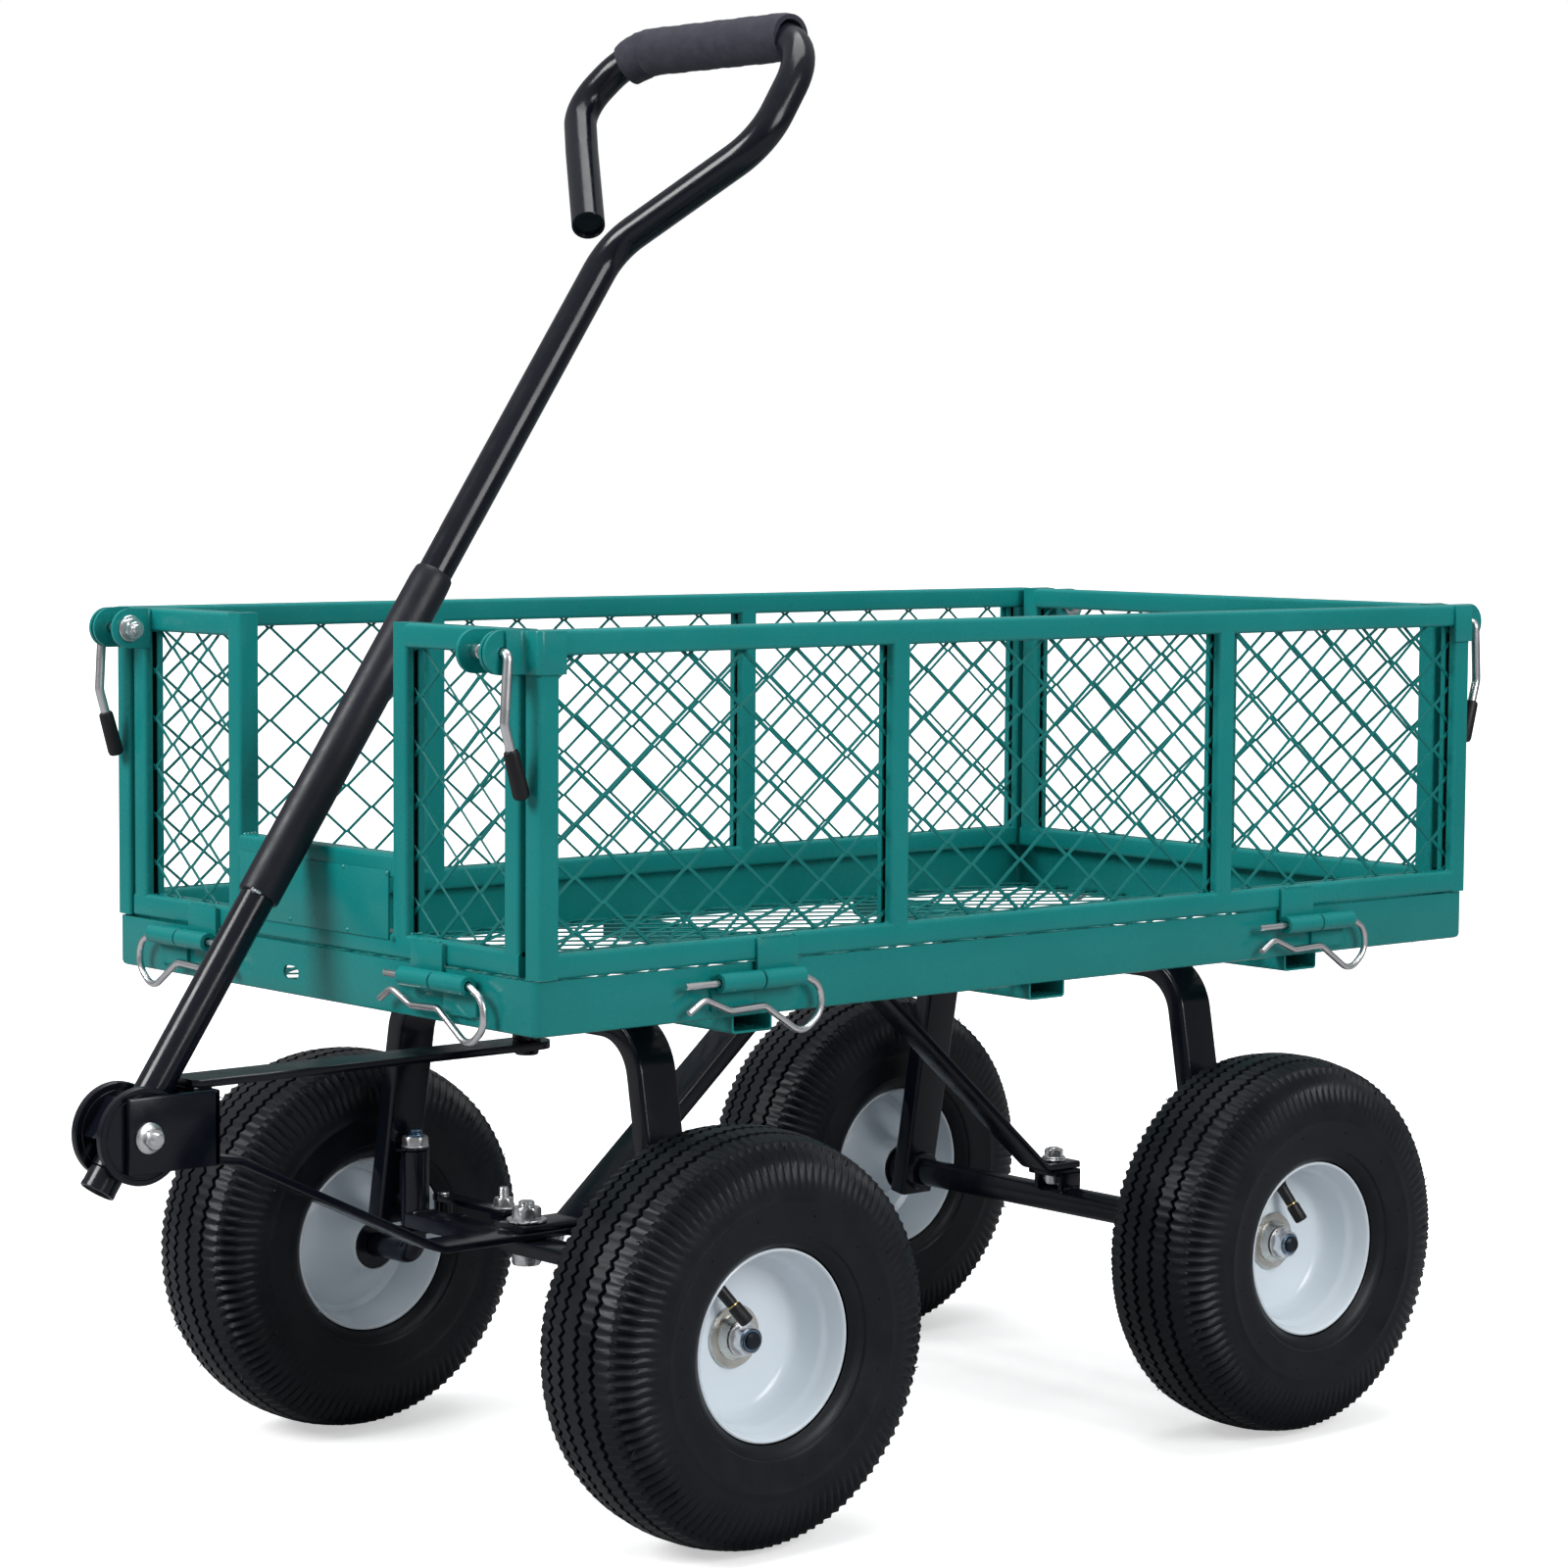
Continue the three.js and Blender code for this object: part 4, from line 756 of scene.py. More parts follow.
def tray():
    b = Build()
    half = TRAY_X
    corners = [(0, TRAY_Y[0], 0), (half, TRAY_Y[0], 0), (half, TRAY_Y[1], 0), (-half, TRAY_Y[1], 0),
               (-half, TRAY_Y[0], 0), (0, TRAY_Y[0], 0)]
    pts = fillet([Vector(c) + Vector((0, 0, TRAY_Z[0])) for c in corners], 6, 6)[:-1]
    # folded sheet: outer wall, rounded bottom fold, inward flange; across is Z, within is outward
    prof = [(32.7, 0), (32.7, -2), (3.5, -2), (2, -3.5), (2, -14), (0, -14), (0, -3), (0.9, -0.9),
            (3, 0)]
    b.sweep(pts, prof, (0, 0, 1), closed=True)
    for y in (3, 253, 496):
        ro, ri = [[[b.bm.verts.new(P(x, y + u, CROSS_Z + v)) for u, v in outline]
                   for x in (-220, 220)]
                  for outline in (rect_profile(32, 12.6, 2.4), rect_profile(29, 9.8, 1.6))]
        n = len(ro[0])
        for i in range(n):
            j = (i + 1) % n
            b.bm.faces.new((ro[0][i], ro[0][j], ro[1][j], ro[1][i]))
            b.bm.faces.new((ri[0][j], ri[0][i], ri[1][i], ri[1][j]))
            for e in (0, 1):
                b.bm.faces.new((ro[e][i], ri[e][i], ri[e][j], ro[e][j]))
        for s in (1, -1):
            b.bead((s * 214, y - 14, 329.5), (s * 214, y + 14, 329.5), 1.6)
    for s in (1, -1):
        for span in ((-35, -2.5), (498.5, 531)):
            leaf = Build()
            hinge_tray_leaf(leaf, "y", span)
            if s < 0:
                leaf.flip("x")
            b.absorb(leaf)
        for rear in (0, 1):
            leaf = Build()
            hinge_tray_leaf(leaf, "x", sorted((s * 139, s * 171.5)))
            if rear:
                leaf.flip("y", MID_Y)
            b.absorb(leaf)
    ob = b.to_object("tray", GREEN, "chassis", ["bed_tray"], "green_paint")
    cut = Build()
    slot = rect_profile(16.5, 8.4, 4.1, 8)
    cut.grid([[(-24.3 + u, y, 343.2 + v) for u, v in slot] for y in (TRAY_Y[0] - 3, TRAY_Y[0] + 4)],
             closed=False)
    bmesh.ops.recalc_face_normals(cut.bm, faces=cut.bm.faces[:])
    tool = link("cutter", cut.to_mesh("cutter"))
    mod = ob.modifiers.new("drain", "BOOLEAN")
    mod.object = tool
    mod.operation = "DIFFERENCE"
    mod.solver = "FAST"
    done = bpy.data.meshes.new_from_object(
        ob.evaluated_get(bpy.context.evaluated_depsgraph_get()))
    ob.modifiers.clear()
    ob.data = done
    bpy.data.objects.remove(tool)


tray()


# ------------------------------------------------------------------ latch hardware
LEVER_X = 219


def latch_hardware():
    for end in ("front", "rear"):
        for side, s in SIDES:
            node = f"latch_lever_{end}_{side}"
            y, z = LATCH
            rodb = Build()
            bend, end_at = Vector((LEVER_X, y - 2.5, 511)), Vector((LEVER_X, y + 10.2, 468))
            head = fillet([(EARS[3] + 0.3, y, z), (LEVER_X, y, z), (LEVER_X, y - 1, 537)], 5.5, 9)
            rodb.sweep(head, round_profile(3, 18), (0, 1, 0))
            tail = fillet([(LEVER_X, y - 1, 537.4), bend, end_at.lerp(bend, 0.2)], 14, 9)
            rodb.sweep(tail, round_profile(3, 18), (1, 0, 0))
            tip = Build()
            a, c = end_at.lerp(bend, 0.66), end_at
            d = c - a
            pts = [a + d * f for f in (0, 0.03, 0.1, 0.9, 0.97, 1)]
            rr = [3.3, 4.4, 4.75, 5.1, 4.6, 3.4]
            tip.grid([ring_of(p, X, d.normalized().cross(X), q, 20) for p, q in zip(pts, rr)],
                     closed=False)
            stub = Build()
            face = EARS[0]
            stub.rod("x", 3.0, face - 1, EARS[2] + 1, (y, z), 18, 0.3)
            stub.rod("x", 4.4, EARS[1] + 0.1, EARS[1] + 6, (y, z), 28, 0.5)
            stub.rod("x", 8.6, face - 1.5, face - 0.1, (y, z), 32, 0.4)
            stub.hexnut("x", 7.2, face - 1.5, face - 7, (y, z), 0.3)
            stub.rod("x", 4.6, face - 7.8, face - 6.6, (y, z), 24, 0.5)
            stub.thread("x", 3, face - 7, face - 10, (y, z), 1.0)
            for piece in (rodb, tip, stub):
                if end == "rear":
                    piece.flip("y", MID_Y)
            key = f"{end}_{side}"
            holder = "chassis" if end == "front" else "rear_panel"
            rodb.to_object(f"lever_rod_{key}", ZINC, f"latch_{key}", [node], "zinc", right=s < 0)
            tip.to_object(f"lever_tip_{key}", MOULDED, f"latch_{key}", [node], right=s < 0)
            stub.to_object(f"latch_stub_{key}", ZINC, holder, (), "zinc", right=s < 0)


latch_hardware()


# ------------------------------------------------------------------ hairpin clips
CLIP = [(-59, 0), (34, 0), (47.5, 7), (49, 23), (33, 36), (3, 16), (-24, 17), (-44, 8.6), (-56, 16)]
CLIP_RADII = [10, 12, 16, 12, 10, 10, 8]


def hairpins():
    prof = round_profile(2.2, 16)
    for side, s in SIDES:
        for end, y in (("front", -2), ("rear", 498)):
            b = Build()
            pts = fillet([(SIDE_PIN[0], y + u, SIDE_PIN[1] - w) for u, w in CLIP],
                         CLIP_RADII, 8)
            b.sweep(pts, prof, (1, 0, 0))
            clip = f"side_clip_{side}_{end}"
            b.to_object(f"hairpin_{side}_{end}", ZINC, clip, [clip], "zinc", right=s < 0)
        for end in ("front", "rear"):
            b = Build()
            route = [(CLIP[0][0] + 8.5, 0)] + CLIP[1:]
            pts = fillet([(138.5 + u, FRONT_PIN_Y, END_PIN_Z - w) for u, w in route],
                         CLIP_RADII, 8)
            b.sweep(pts, prof, (0, 1, 0))
            if end == "rear":
                b.flip("y", MID_Y)
            clip = f"{end}_clip_{side}"
            b.to_object(f"hairpin_{end}_{side}", ZINC, clip, [clip], "zinc", right=s < 0)


hairpins()


# ------------------------------------------------------------------ running gear
KINGPIN_X = 123
PIVOT = (-299, 259)     # the handle's pivot, (y, z)


def leg_x(z):
    return 154.8 - 0.18 * (z - TYRE_R)


def leg_frame(name, node, y, foot):
    b = Build()
    top = 310.2
    corners = [(-leg_x(foot), y, foot), (-leg_x(top), y, top), (leg_x(top), y, top),
               (leg_x(foot), y, foot)]
    b.sweep(fillet(corners, 34, 12), rect_profile(30, 15, 2.6), (0, 1, 0))
    if y < 100:
        b.block((-119, 119), (-12, 12), (150.2, 160), 1.2)
        for s in (1, -1):
            b.rod("z", 9.6, 150, 201, (s * KINGPIN_X, 0), 36, 0.7, bore=7.9)
            for y1 in (-4, 4):
                b.bead((s * 132.8, y1, 164), (s * 132.8, y1, 194), 1.8)
            b.bead((s * 113, -9, 160), (s * 113, 9, 160), 1.5)
    else:
        for s in (1, -1):
            b.rod("x", 14, *sorted((s * 141, s * 171)), (y, TYRE_R), 40, 0.8, bore=7.9)
            b.bead((s * 147, y - 13, 136), (s * 147, y + 13, 136), 1.6)
    b.to_object(name, BLACK, "chassis", [node], "black_paint")


leg_frame("front_legs", "front_leg_frame", 0, 150)
leg_frame("rear_legs", "rear_leg_frame", REAR_Y, 114)


def axle_and_braces():
    b = Build()
    b.rod("x", 10, -140, 140, (REAR_Y, TYRE_R), 36, 0.6)
    b.rod("x", 7.4, -226, 226, (REAR_Y, TYRE_R), 28, 1.0)
    b.block((-14, 14), (468, 494), (149, 153), 1.0)
    for x in ((-14, -10), (10, 14)):
        b.block(x, (474, 494), (138, 152), 1.0)
    for s in (1, -1):
        b.bead((s * 14.4, 476, 139), (s * 14.4, 492, 139), 1.6)
    b.to_object("axle_bar", BLACK, "chassis", ["rear_axle"], "black_paint")

    b = Build()
    lip = 167.9
    b.sweep([(0, -13, lip), (0, 40, lip), (0, 44, lip + 1.4), (0, 62, 184.9)],
            rect_profile(28, 4.2, 1.2, 3), X)
    d = Vector((0, 149, 126.4)).normalized()
    up = d.cross(X)
    head = [Vector((u, 206, 307)) + up * v for u, v in rect_profile(28, 14, 3)]
    foot = [p - d * ((p.z - lip - 1) / d.z) for p in head]
    b.grid([[tuple(p) for p in foot], [tuple(p) for p in head]], closed=False)
    b.sweep([(0, 203, 304.5), (0, 215, 315.6), (0, 266, 315.6)], rect_profile(28, 4, 1.2, 3), X)
    b.to_object("front_strut", BLACK, "chassis", ["front_brace"], "black_paint")

    b = Build()
    z = 155.9
    b.sweep(fillet([(0, 494, z), (0, 462, z), (0, 286, 310.6), (0, 240, 311.0)], 9, 5),
            rect_profile(26, 5, 1.4, 3), (1, 0, 0))
    b.to_object("rear_strut", BLACK, "chassis", ["rear_brace"], "black_paint")

    b = Build()
    at, washer = (0, 480), 160.6
    b.hexnut("z", 7, 148.6, 142, at)
    b.rod("z", 4, 143, 168, at, 20)
    b.rod("z", 9.4, washer - 2, washer - 0.4, at, 30)
    b.rod("z", 8.4, washer - 0.4, washer + 1.0, at, 30)
    b.hexnut("z", 7.2, washer + 1.0, washer + 6.4, at)
    b.to_object("strut_bolt", ZINC, "chassis", ["rear_brace_bolt"], "zinc")

    b = Build()
    b.hexnut("z", 10, 149.4, 142.2, (0, 0))
    b.rod("z", 6, 143, 176, (0, 0), 24)
    b.rod("z", 13.2, 170.6, 172.4, (0, 0), 36)
    b.hexnut("z", 10, 172.4, 180, (0, 0))
    b.thread("z", 5.6, 176, 184, (0, 0))
    b.to_object("king_bolt_look", ZINC, "chassis", ["king_bolt"], "zinc")

    b = Build()
    b.hexnut("z", 8, 283.4, 279.6, (0, 0))
    b.rod("z", 6, 280, 302, (0, 0), 24)
    b.rod("z", 9.5, 289.5, 302.1, (0, 0), 32)
    b.to_object("yoke_bolt", BLACK, "chassis", ["upper_pivot_bolt"], "zinc")


axle_and_braces()


def tongue():
    b = Build()
    # upper flat with a rounded rear end
    outline = [(-15, -258), (-12, -262), (12, -262), (15, -258)]
    outline += [(15 * math.cos(a), 15 * math.sin(a))
                for a in [math.pi * i / 16 for i in range(17)]]
    rings = [[(x, y, z) for x, y in outline] for z in (284, 284.5, 288.5, 289)]
    for k in (0, 3):
        rings[k] = [(x * 0.985, y, z) for x, y, z in rings[k]]
    b.grid(rings, closed=False)
    b.sweep(fillet([(0, -250, 239.6), (0, -228, 236), (0, -76, 162.9), (0, 46, 162.9)], 22, 6),
            rect_profile(30, 5, 1.2, 3), (1, 0, 0))
    b.block((-31, 31), (22, 48), (160.5, 165.3), 1.2)
    for s in (1, -1):
        b.block((s * 17.5, s * 22), (-312, -248), (237, 283.4), 1.4)
    b.block((-22, 22), (-253, -248), (237, 283.4), 1.4)
    b.block((-14, 14), (-262, -249), (281.4, 284.6), 0.8)
    b.bead((-13, -247, 240), (13, -247, 240), 2.0)
    b.bead((-13, -249, 283.8), (13, -249, 283.8), 1.2)
    b.to_object("tongue_look", BLACK, "tongue", ["tongue"], "black_paint")

    b = Build()
    b.rod("x", 4.8, -30, 26, PIVOT, 24)
    b.rod("x", 9.4, 22.3, 24.2, PIVOT, 36)
    b.lathe([(3, 24.1), (8.7, 24.1), (8.7, 24.9), (6.6, 26), (3, 26)], "x", (0, *PIVOT), 36)
    b.hexnut("x", 6.9, 25.4, 30.2, PIVOT, 0.2)
    b.thread("x", 4.2, 29, 34.0, PIVOT, 1.0)
    b.rod("x", 9.4, -24.2, -22.3, PIVOT, 36)
    b.hexnut("x", 8.6, -24.2, -30.5, PIVOT)
    b.to_object("pivot_bolt", ZINC, "tongue", ["handle_pivot_bolt"], "zinc")


tongue()


def knuckles():
    for side, s in SIDES:
        body, node = f"knuckle_{side}", [f"steering_knuckle_{side}"]
        king = (KINGPIN_X, 0)
        b = Build()
        pts = fillet([(*king, 207), (*king, TYRE_R), (226, 0, TYRE_R)], 12, 10)
        b.sweep(pts, round_profile(7.4, 24), (0, 1, 0))
        arm = fillet([(123, -11, 147), (123, 12, 147), (143, 47, 147)], 14, 5)
        b.sweep(arm, rect_profile(4.6, 19, 1.2, 3), (0, 0, 1))
        b.to_object(f"spindle_{side}", BLACK, body, node, "black_paint",
                    right=s < 0)
        b = Build()
        b.rod("z", 9.8, 201.2, 203, king, 32)
        b.block((120, 126), (-14, -8), (201.2, 202.8), 0.4)
        b.to_object(f"kingpin_washer_{side}", BLACK, body, node, right=s < 0)
        b = Build()
        b.rod("z", 9.3, 203, 204.4, king, 32)
        b.hexnut("z", 9.2, 204.4, 210.4, king, 0.2)
        b.to_object(f"kingpin_nut_{side}", ZINC, body, node, right=s < 0)
        b = Build()
        b.rod("z", 6.2, 210, 212, king, 28, 0.6)
        b.thread("z", 4.9, 211, 215, king, 1.2)
        b.to_object(f"kingpin_end_{side}", ZINC_BLUE, body, node, right=s < 0)
        b = Build()
        out_x, rod_y = 143, 38
        inner, lap, outer = (20, rod_y), (75, rod_y), (out_x, rod_y)
        rod_body, rod_node = f"tie_rod_{side}", [f"tie_rod_{side}"]
        for x0, x1, z0 in ((20, 82, 155.6), (66, out_x, 159.8)):
            b.block((x0, x1), (31, 45), (z0 + 0.05, z0 + 4.15), 1.0)
        b.rod("z", 7.4, 155.6, 159.7, inner, 32, 0.5)
        b.rod("z", 7.4, 159.8, 163.9, outer, 32, 0.5)
        b.rod("z", 6.5, 149.9, 160, outer, 28, 0.5)
        b.to_object(f"track_rod_{side}", BLACK, rod_body, rod_node, "black_paint", right=s < 0)
        b = Build()
        b.rod("z", 9, 163.9, 165.2, lap, 30)
        b.hexnut("z", 6.9, 165.2, 171, lap)
        b.thread("z", 3.6, 170, 178, lap)
        b.hexnut("z", 6.5, 155.6, 150.4, lap)
        b.hexnut("z", 7, 155.6, 150, inner)
        b.rod("z", 4, 155, 165, inner, 20)
        b.hexnut("z", 7, 144.2, 139, outer)
        b.rod("z", 4, 139.5, 165, outer, 20)
        b.to_object(f"track_rod_bolts_{side}", ZINC, rod_body, rod_node, right=s < 0)


knuckles()


# ------------------------------------------------------------------ wheels
STEPS = 448          # four to each tread tooth


def crown_r(x):
    return TYRE_R - 0.0052 * x * x


def tyre_columns():
    """(x, radius, zigzag, fin) columns from the outer bead up to the crown's middle."""
    wall = ((36.6, 60.4), (37.6, 61.6), (39.4, 63), (41.2, 66), (41.9, 68.6), (43.3, 69.6),
            (44.0, 72.4), (44.3, 78), (45.2, 84), (45.7, 87.6), (46.0, 88.4), (46.0, 89.6),
            (45.6, 90.6), (45.6, 95))
    cols = [(x, r, 0, 0) for x, r in wall]
    cols += [(45.4, 99, 0, 0.35), (44.6, 104, 0, 0.8), (43.4, 109.5, 0, 1.0),
             (41.6, 114.5, 0, 1.0), (39.2, 118.6, 0, 1.0), (36.6, 121.6, 0, 1.0),
             (34.4, 123.2, 0.3, 0.75), (33.0, 124.0, 1.0, 0.2)]
    for a, c in ((31.8, 21.4), (18.6, 8.4), (5.6, -5.6)):
        if a < 31:
            cols.append((a + 0.2, crown_r(a) - 3.6, 1.0, 0))
            cols.append((a - 0.4, crown_r(a) - 0.2, 1.0, 0))
        else:
            cols.append((a, crown_r(a), 1.0, 0))
        if c > 0:
            cols.append((c + 0.4, crown_r(c) - 0.2, 1.0, 0))
            cols.append((c - 0.2, crown_r(c) - 3.6, 1.0, 0))
    return cols


def tyre_profile():
    cols = tyre_columns()
    return cols + [(-x, r, -z, f) for x, r, z, f in reversed(cols)]


INNER = [(-33, 62), (-36, 72), (-39, 86), (-40, 100), (-36, 112), (-26, 119), (0, 121), (26, 119),
         (36, 112), (40, 100), (39, 86), (36, 72), (33, 62)]
ZIGZAG = (0.0, 1.0, 0.35, -0.65)     # one tooth of the grooves, a little saw-like
FIN = (0.0, 0.55, 1.0, 0.35)         # depth across one shoulder rib


def hair(b, base, out, along, h, thick=0.7):
    """Stub of rubber left by a mould vent."""
    side = out.cross(along)
    tip = base + out * h + along * (0.45 * h)
    ends = ((base - out * 0.8, thick), (tip, thick * 0.45))
    b.grid([ring_of(p, along, side, q, 6) for p, q in ends], closed=False)


def make_tyre(name, node, body, at, s):
    b = Build()
    cols = tyre_profile()
    rings = []
    for k in range(STEPS):
        a = 2 * math.pi * (k + 0.17 * s) / STEPS
        zig, fin = ZIGZAG[k % 4], FIN[k % 4]
        fin_far = FIN[(k + 2) % 4]
        wave = 0.12 * math.sin(a * 5) + 0.08 * math.sin(a * 11 + 1)
        ring = []
        for x, r, z, f in cols:
            depth = 4.6 * f * (fin if x > 0 else fin_far)
            ring.append((x + 1.9 * zig * abs(z), r - depth - abs(z) * 0.1 + wave * (r > 100) - 0.2))
        ring += [(x, r) for x, r in INNER]
        c, sn = math.cos(a), math.sin(a)
        rings.append([(at[0] + x, at[1] + r * c, at[2] + r * sn) for x, r in ring])
    b.grid(rings)
    for _ in range(60):
        a = rng.uniform(0, 2 * math.pi)
        x = rng.choice((-1, 1)) * rng.choice((31, 25, 12, 38, 42))
        h = rng.uniform(1.0, 3.4)
        if x * x > 900:
            h += 1
        r = crown_r(x) - 0.6 - (3.5 if abs(x) > 37 else 0) - (6 if abs(x) > 41 else 0)
        if math.sin(a) < -0.75:
            continue
        h = min(h, (TYRE_R - 0.2 - r) if abs(x) < 20 else h, 44.5 - abs(x) + 1)
        c, sn = math.cos(a), math.sin(a)
        out = Vector((0.25 * (1 if x > 0 else -1), c, sn)).normalized()
        if r + h * 1.1 > TYRE_R - 0.3:
            h = max(0.3, TYRE_R - 0.3 - r)
        hair(b, Vector((at[0] + x, at[1] + r * c, at[2] + r * sn)), out, Vector((0, -sn, c)), h)
    for r, count, turn in ((81.5, 12, 0.2), (97, 12, 0.5)):
        for k in range(count):
            a = 2 * math.pi * k / count + turn + 0.05 * rng.random()
            c, sn = math.cos(a), math.sin(a)
            for e in (1, -1):
                x = e * (45.0 if r < 90 else 45.5)
                foot = Vector((at[0] + x - e * 0.6, at[1] + r * c, at[2] + r * sn))
                hair(b, foot, Vector((e, 0, 0)), Vector((0, -sn, c)), 0.95, 1.3)
    b.to_object(name, TYRE, body, [node], "tyre", sharp=34, right=s < 0)


def make_rim(name, node, body, at, s):
    b = Build()
    prof = [(36.0, 59.2), (36.4, 58.2), (35.8, 57.3), (34.2, 56.8), (31, 55.6), (27, 54.6),
            (24, 54.0), (22.4, 52.6), (19, 51.6), (10, 50.4), (4, 49.0), (0.6, 46.6),
            (-0.8, 42.5), (-1.4, 30), (-1.6, 20), (-1.6, 12), (-38, 12), (-38, 16.6),
            (-40.4, 16.8), (-40.8, 17.0), (-40.8, 17.5), (-40.2, 17.8), (-36, 18.0), (-26, 20.2),
            (-17, 23.6), (-10.5, 29), (-6.2, 36), (-3.8, 43), (-1.8, 47.6), (-4, 51.6), (-20, 52),
            (-24, 54), (-31, 55.6), (-34.2, 56.8), (-35.8, 57.3), (-36.4, 58.2), (-36.0, 59.2),
            (-35, 59.4), (-33.6, 58.6), (-30, 57.4), (-23, 55.8), (-19, 53.6), (19, 53.6),
            (23, 55.8), (30, 57.4), (33.6, 58.6), (35, 59.4)]
    b.lathe([(r, x) for x, r in prof], "x", at, 96)
    b.to_object(name, RIM, body, [node], "rim_paint", sharp=40, right=s < 0)
    hub = Build()
    x0 = at[0]
    yz = (at[1], at[2])
    hub.rod("x", 19.6, x0 - 1.4, x0 + 0.5, yz, 56, 0.5, bore=8)
    hub.lathe([(8, 0.5), (14.2, 0.5), (14.2, 1.6), (13.2, 2.6), (12.6, 4.8), (11.6, 6.2), (8, 6.6)],
              "x", at, 48)
    hub.to_object(name + "_hub", ZINC_WARM, body, [node], right=s < 0)
    collar = Build()
    collar.rod("x", 16.4, x0 - 40.9, x0 - 38.3, yz, 44, 0.6, bore=8)
    collar.to_object(name + "_collar", BLACK, body, [node], right=s < 0)


def make_valve(name, node, body, at, s, base, tip):
    """Stem that leaves the dish's wall and leans inward and outward over the hub."""
    base, tip = Vector(at) + Vector(base), Vector(at) + Vector(tip)
    d = (tip - base).normalized()
    u = d.cross(Vector((0, 1, 0))).normalized()
    v = d.cross(u)
    length = (tip - base).length

    def tube(builder, spec, ribs=False):
        rings = []
        for h, r in spec:
            ring = []
            for k, t in enumerate(turns(36)):
                q = r * (0.94 if ribs and k % 3 == 0 and r > 4.2 else 1)
                ring.append(tuple(base + d * h + (u * math.cos(t) + v * math.sin(t)) * q))
            rings.append(ring)
        builder.grid(rings, closed=False)

    split = length * 0.56
    stem = [(-0.6, 5.6), (0.6, 5.6), (3, 4.3), (6, 3.9), (split - 0.6, 3.7), (split, 3.0)]
    band = [(split - 0.4, 3.3), (split, 3.75), (split + 0.7, 3.75), (split + 0.9, 3.3)]
    cap = [(split + 0.8, 3.4), (split + 1.1, 4.3), (split + 1.8, 4.45), (length - 1.4, 4.5),
           (length - 0.5, 4.1), (length, 3.0)]
    for tail, material, spec, slot in (("", MOULDED, stem, "valve_rubber"),
                                       ("_ring", BRASS, band, None), ("_cap", MOULDED, cap, None)):
        b = Build()
        tube(b, spec, spec is cap)
        b.to_object(name + tail, material, body, [node], slot, right=s < 0)


def make_axle_nut(name, node, body, at, s):
    yz = (at[1], at[2])
    x0 = at[0]
    b = Build()
    b.rod("x", 11.2, x0 + 7.2, x0 + 8.6, yz, 40, 0.4, bore=7.9)
    b.hexnut("x", 10.2, x0 + 8.6, x0 + 15.4, yz, 0.35)
    b.to_object(name, ZINC, body, [node], "zinc", right=s < 0)
    b = Build()
    b.rod("x", 7.4, x0 + 14.8, x0 + 17.2, yz, 40, 0.7, bore=5.2)
    b.to_object(name + "_collar", ZINC_BLUE, body, [node], right=s < 0)
    b = Build()
    b.thread("x", 5.4, x0 + 12, x0 + 19.6, yz, 1.0)
    b.to_object(name + "_end", STEEL_DARK, body, [node], right=s < 0)


VALVES = {"front": ((3, -19.5, 36.5), (18, -4.6, 11.9)), "rear": ((3, 1.4, 41.3), (18, 9.7, 15.4))}


def wheels():
    for end, y in (("front", 0.0), ("rear", REAR_Y)):
        for side, s in SIDES:
            at = (TRACK, y, TYRE_R)
            key = f"{end}_{side}"
            body = f"wheel_{key}"
            make_tyre(f"tread_{key}", f"tyre_{key}", body, at, s)
            make_rim(f"dish_{key}", f"rim_{key}", body, at, s)
            make_valve(f"stem_{key}", f"valve_{key}", body, at, s, *VALVES[end])
            nut_body = "chassis" if end == "rear" else f"knuckle_{side}"
            make_axle_nut(f"locknut_{key}", f"axle_nut_{key}", nut_body, at, s)


wheels()


# ------------------------------------------------------------------ handle
LEAN = math.radians(34.2)
ACROSS = (0, math.cos(LEAN), -math.sin(LEAN))


def H(x, s, n=0.0):
    """Point of the handle: x across, s up from the pivot along the tube, n square to both."""
    return (x, PIVOT[0] + s * math.sin(LEAN) + n * math.cos(LEAN),
            PIVOT[1] + s * math.cos(LEAN) - n * math.sin(LEAN))


def open_end(b, at, d, r, bore, depth, n=32):
    """Collar that shows a tube's wall and dark bore at its cut end."""
    d = Vector(d).normalized()
    u = d.cross(Vector((1, 0, 0.01))).normalized()
    v = d.cross(u)
    c = Vector(at)
    prof = [(r, -3), (r, -0.4), (r - 0.4, 0), (bore + 0.2, 0), (bore, -0.3), (bore, -depth),
            (0.05, -depth), (0.05, -depth - 1), (r - 0.2, -depth - 1), (r - 0.2, -3)]
    rings = []
    for t in turns(n):
        w = u * math.cos(t) + v * math.sin(t)
        rings.append([tuple(c + w * q + d * h) for q, h in prof])
    b.grid(rings)


LOOP = [(0, 330), (0, 653), (97, 733), (93, 819), (-98, 819), (-122, 775), (-92, 737), (-39, 673)]


GRIP_BORE = 11.4


def loop_points():
    return fillet([H(*p) for p in LOOP], [40, 46, 44, 40, 30, 9], 14)


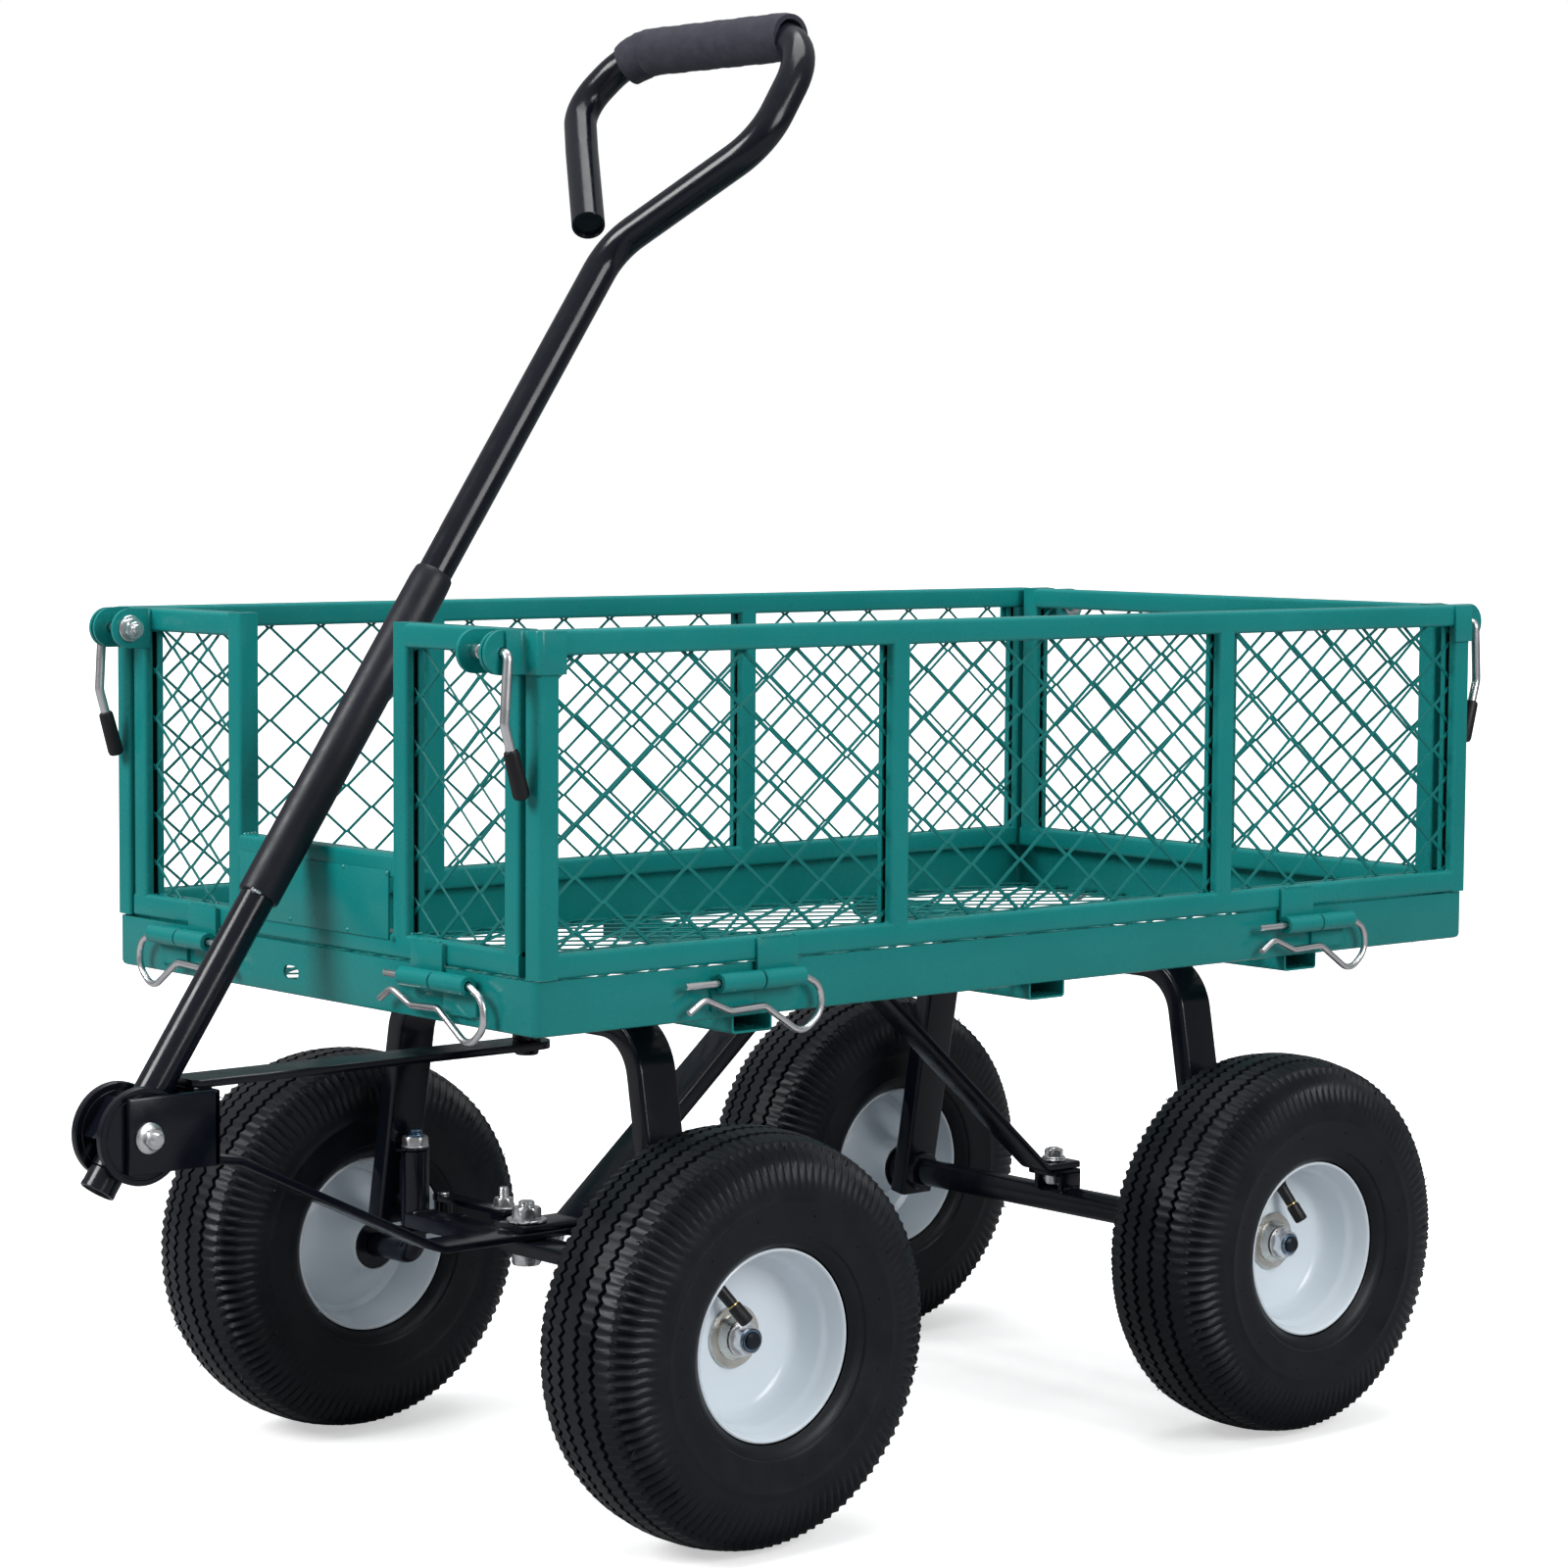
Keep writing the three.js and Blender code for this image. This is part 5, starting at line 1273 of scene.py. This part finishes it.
def handle():
    b = Build()
    b.sweep([H(0, -26), H(0, 170)], round_profile(11, 32), ACROSS)
    open_end(b, H(0, -40), Vector(H(0, -40)) - Vector(H(0, -30)), 11, 9.2, 12)
    b.to_object("lower_tube", BLACK, "handle", ["handle_lower_tube"], "black_paint")
    b = Build()
    across = Vector(ACROSS)
    prof = [(164.5, 11.2), (164.7, 12.6), (166, 13.2), (392, 13.2), (396, 13.0), (400, 12.6),
            (401, 12.0), (401, 11.2)]
    b.grid([ring_of(Vector(H(0, s)), X, across, r, 36) for s, r in prof], closed=False)
    b.to_object("tube_sleeve", SATIN, "handle", ["handle_lower_tube"])
    b = Build()
    for k in range(4):
        t = 0.62 + 0.13 * k
        c = Vector(H(0, 164.4)) + X * math.sin(t) * 12.2 - across * math.cos(t) * 12.2
        b.bead(c - X, c + Vector((1.0, 0.4, 0.4)), 1.5 - 0.2 * k, 1.4)
    b.to_object("sleeve_weld", ZINC, "handle")

    b = Build()
    pts = loop_points()
    end, prev = Vector(pts[-1]), Vector(pts[-2])
    d = (end - prev).normalized()
    pts[-1] = end - d * 3
    b.sweep(pts, round_profile(11, 32), ACROSS)
    open_end(b, end, d, 11, 9.2, 14)
    b.to_object("loop_tube", BLACK, "handle", ["handle_upper_tube"], "black_paint")

    b = Build()
    route = fillet([H(68, 819), H(-80, 819), H(-94, 810)], 40, 18)
    fine = [route[0]]
    for a, c in zip(route, route[1:]):
        a, c = Vector(a), Vector(c)
        n = max(1, int((c - a).length / 4))
        fine += [a.lerp(c, i / n) for i in range(1, n + 1)]
    last = len(fine) - 1
    rings, inner = [], []
    for i, p in enumerate(fine):
        t = (fine[min(last, i + 1)] - fine[max(0, i - 1)]).normalized()
        n2 = t.cross(across).normalized()
        edge = min(i, last - i)
        base = 15.9 - (0.9 if edge == 0 else 0.25 if edge == 1 else 0)
        ring = []
        for a in turns(40):
            wob = 0.22 * math.sin(i * 0.9 + 2 * math.sin(a)) + 0.18 * math.sin(i * 2.3 + 3 * a)
            r = base - 0.2 + wob * 0.8
            ring.append(tuple(p + (across * math.cos(a) + n2 * math.sin(a)) * r))
        rings.append(ring)
        inner.append(ring_of(p, across, n2, GRIP_BORE, 40))
    b.grid(rings + inner[::-1])
    grip = b.to_object("foam_sleeve", FOAM, "handle", ["handle_grip"], "foam", sharp=60)

    b = Build()
    for s in (1, -1):
        x0, x1 = sorted((s * 11.5, s * 17.0))
        prof = [(6.2, x0), (29, x0), (29.8, x0 + 0.8), (29.8, x1 - 0.8), (29, x1), (26.5, x1),
                (26, x1 - 0.5), (25.2, x1 - 0.5), (24.8, x1), (6.2, x1)]
        b.lathe(prof, "x", (0, *PIVOT), 64)
    for n in (16, -16):
        b.sweep([H(0, -14, n), H(0, 14, n)], rect_profile(25, 8, 1), (1, 0, 0))
    b.to_object("cheek_discs", BLACK, "handle", ["handle_cheeks"], "black_paint")


handle()


# ------------------------------------------------------------------ CAD nodes left showing
def finish_cad_nodes():
    for name, ob in NODES.items():
        ob.data.materials.clear()
        ob.data.materials.append(GREEN)


finish_cad_nodes()


# ------------------------------------------------------------------ stage and light
def map_range(nt, src, given, made, target):
    node = nt.nodes.new("ShaderNodeMapRange")
    node.inputs["From Min"].default_value, node.inputs["From Max"].default_value = given
    node.inputs["To Min"].default_value, node.inputs["To Max"].default_value = made
    nt.links.new(src, node.inputs["Value"])
    nt.links.new(node.outputs["Result"], target)


def stage():
    m, nt, bsdf = new_material("studio_floor")
    n = noise(nt, 3, 2)
    c = ramp(nt, n.outputs["Fac"], [(0.3, (0.90, 0.90, 0.90)), (0.7, (0.93, 0.93, 0.93))])
    nt.links.new(c.outputs["Color"], bsdf.inputs["Base Color"])
    bsdf.inputs["Roughness"].default_value = 0.9
    bsdf.inputs["Specular IOR Level"].default_value = 0.1
    glow = nt.nodes.new("ShaderNodeEmission")
    where = nt.nodes.new("ShaderNodeTexCoord")
    reach = nt.nodes.new("ShaderNodeVectorMath")
    reach.operation = "LENGTH"
    nt.links.new(where.outputs["Object"], reach.inputs[0])
    map_range(nt, reach.outputs["Value"], (0.6, 4.0), (0.5, 1.1), glow.inputs["Strength"])
    both = nt.nodes.new("ShaderNodeAddShader")
    nt.links.new(bsdf.outputs[0], both.inputs[0])
    nt.links.new(glow.outputs[0], both.inputs[1])
    dim = nt.nodes.new("ShaderNodeBsdfDiffuse")
    dim.inputs["Color"].default_value = (0.34, 0.34, 0.35, 1)
    mix = camera_only(nt, both, dim)
    nt.links.new(mix.outputs[0], nt.nodes["Material Output"].inputs["Surface"])
    me = bpy.data.meshes.new("studio_floor")
    s = 30
    me.from_pydata([(-s, -s, 0), (s, -s, 0), (s, s, 0), (-s, s, 0)], [], [(0, 1, 2, 3)])
    me.materials.append(m)
    link("studio_floor", me)


def area(name, at, target, size, power, colour=(1, 1, 1)):
    li = bpy.data.lights.new(name, "AREA")
    li.energy = power
    li.size = size
    li.color = colour
    ob = link(name, li)
    ob.location = at
    d = Vector(target) - Vector(at)
    ob.rotation_euler = d.to_track_quat("-Z", "Y").to_euler()


def camera_only(nt, seen, other):
    """The camera sees one shader and the light that falls on the object comes from the other."""
    path = nt.nodes.new("ShaderNodeLightPath")
    mix = nt.nodes.new("ShaderNodeMixShader")
    nt.links.new(path.outputs["Is Camera Ray"], mix.inputs[0])
    nt.links.new(other.outputs[0], mix.inputs[1])
    nt.links.new(seen.outputs[0], mix.inputs[2])
    return mix


def lights():
    world = bpy.data.worlds.new("studio")
    world.use_nodes = True
    nt = world.node_tree
    bg = nt.nodes["Background"]
    bg.inputs["Color"].default_value = (1, 1, 1, 1)
    bg.inputs["Strength"].default_value = 1.0
    soft = nt.nodes.new("ShaderNodeBackground")
    soft.inputs["Color"].default_value = (0.96, 0.98, 1, 1)
    where = nt.nodes.new("ShaderNodeTexCoord")
    parts = nt.nodes.new("ShaderNodeSeparateXYZ")
    nt.links.new(where.outputs["Generated"], parts.inputs["Vector"])
    map_range(nt, parts.outputs["Z"], (-0.1, 0.8), (0.16, 0.5), soft.inputs["Strength"])
    mix = camera_only(nt, bg, soft)
    nt.links.new(mix.outputs[0], nt.nodes["World Output"].inputs["Surface"])
    bpy.context.scene.world = world
    area("key", (-0.9, -3.4, 2.6), (0, 0, 0.4), 1.6, 122)
    area("side", (3.6, 0.2, 2.0), (0, 0, 0.4), 1.8, 74)
    area("top", (0, 0.4, 4.0), (0, 0, 0.4), 2.4, 72)
    bpy.context.scene.view_settings.view_transform = "Standard"


stage()
lights()
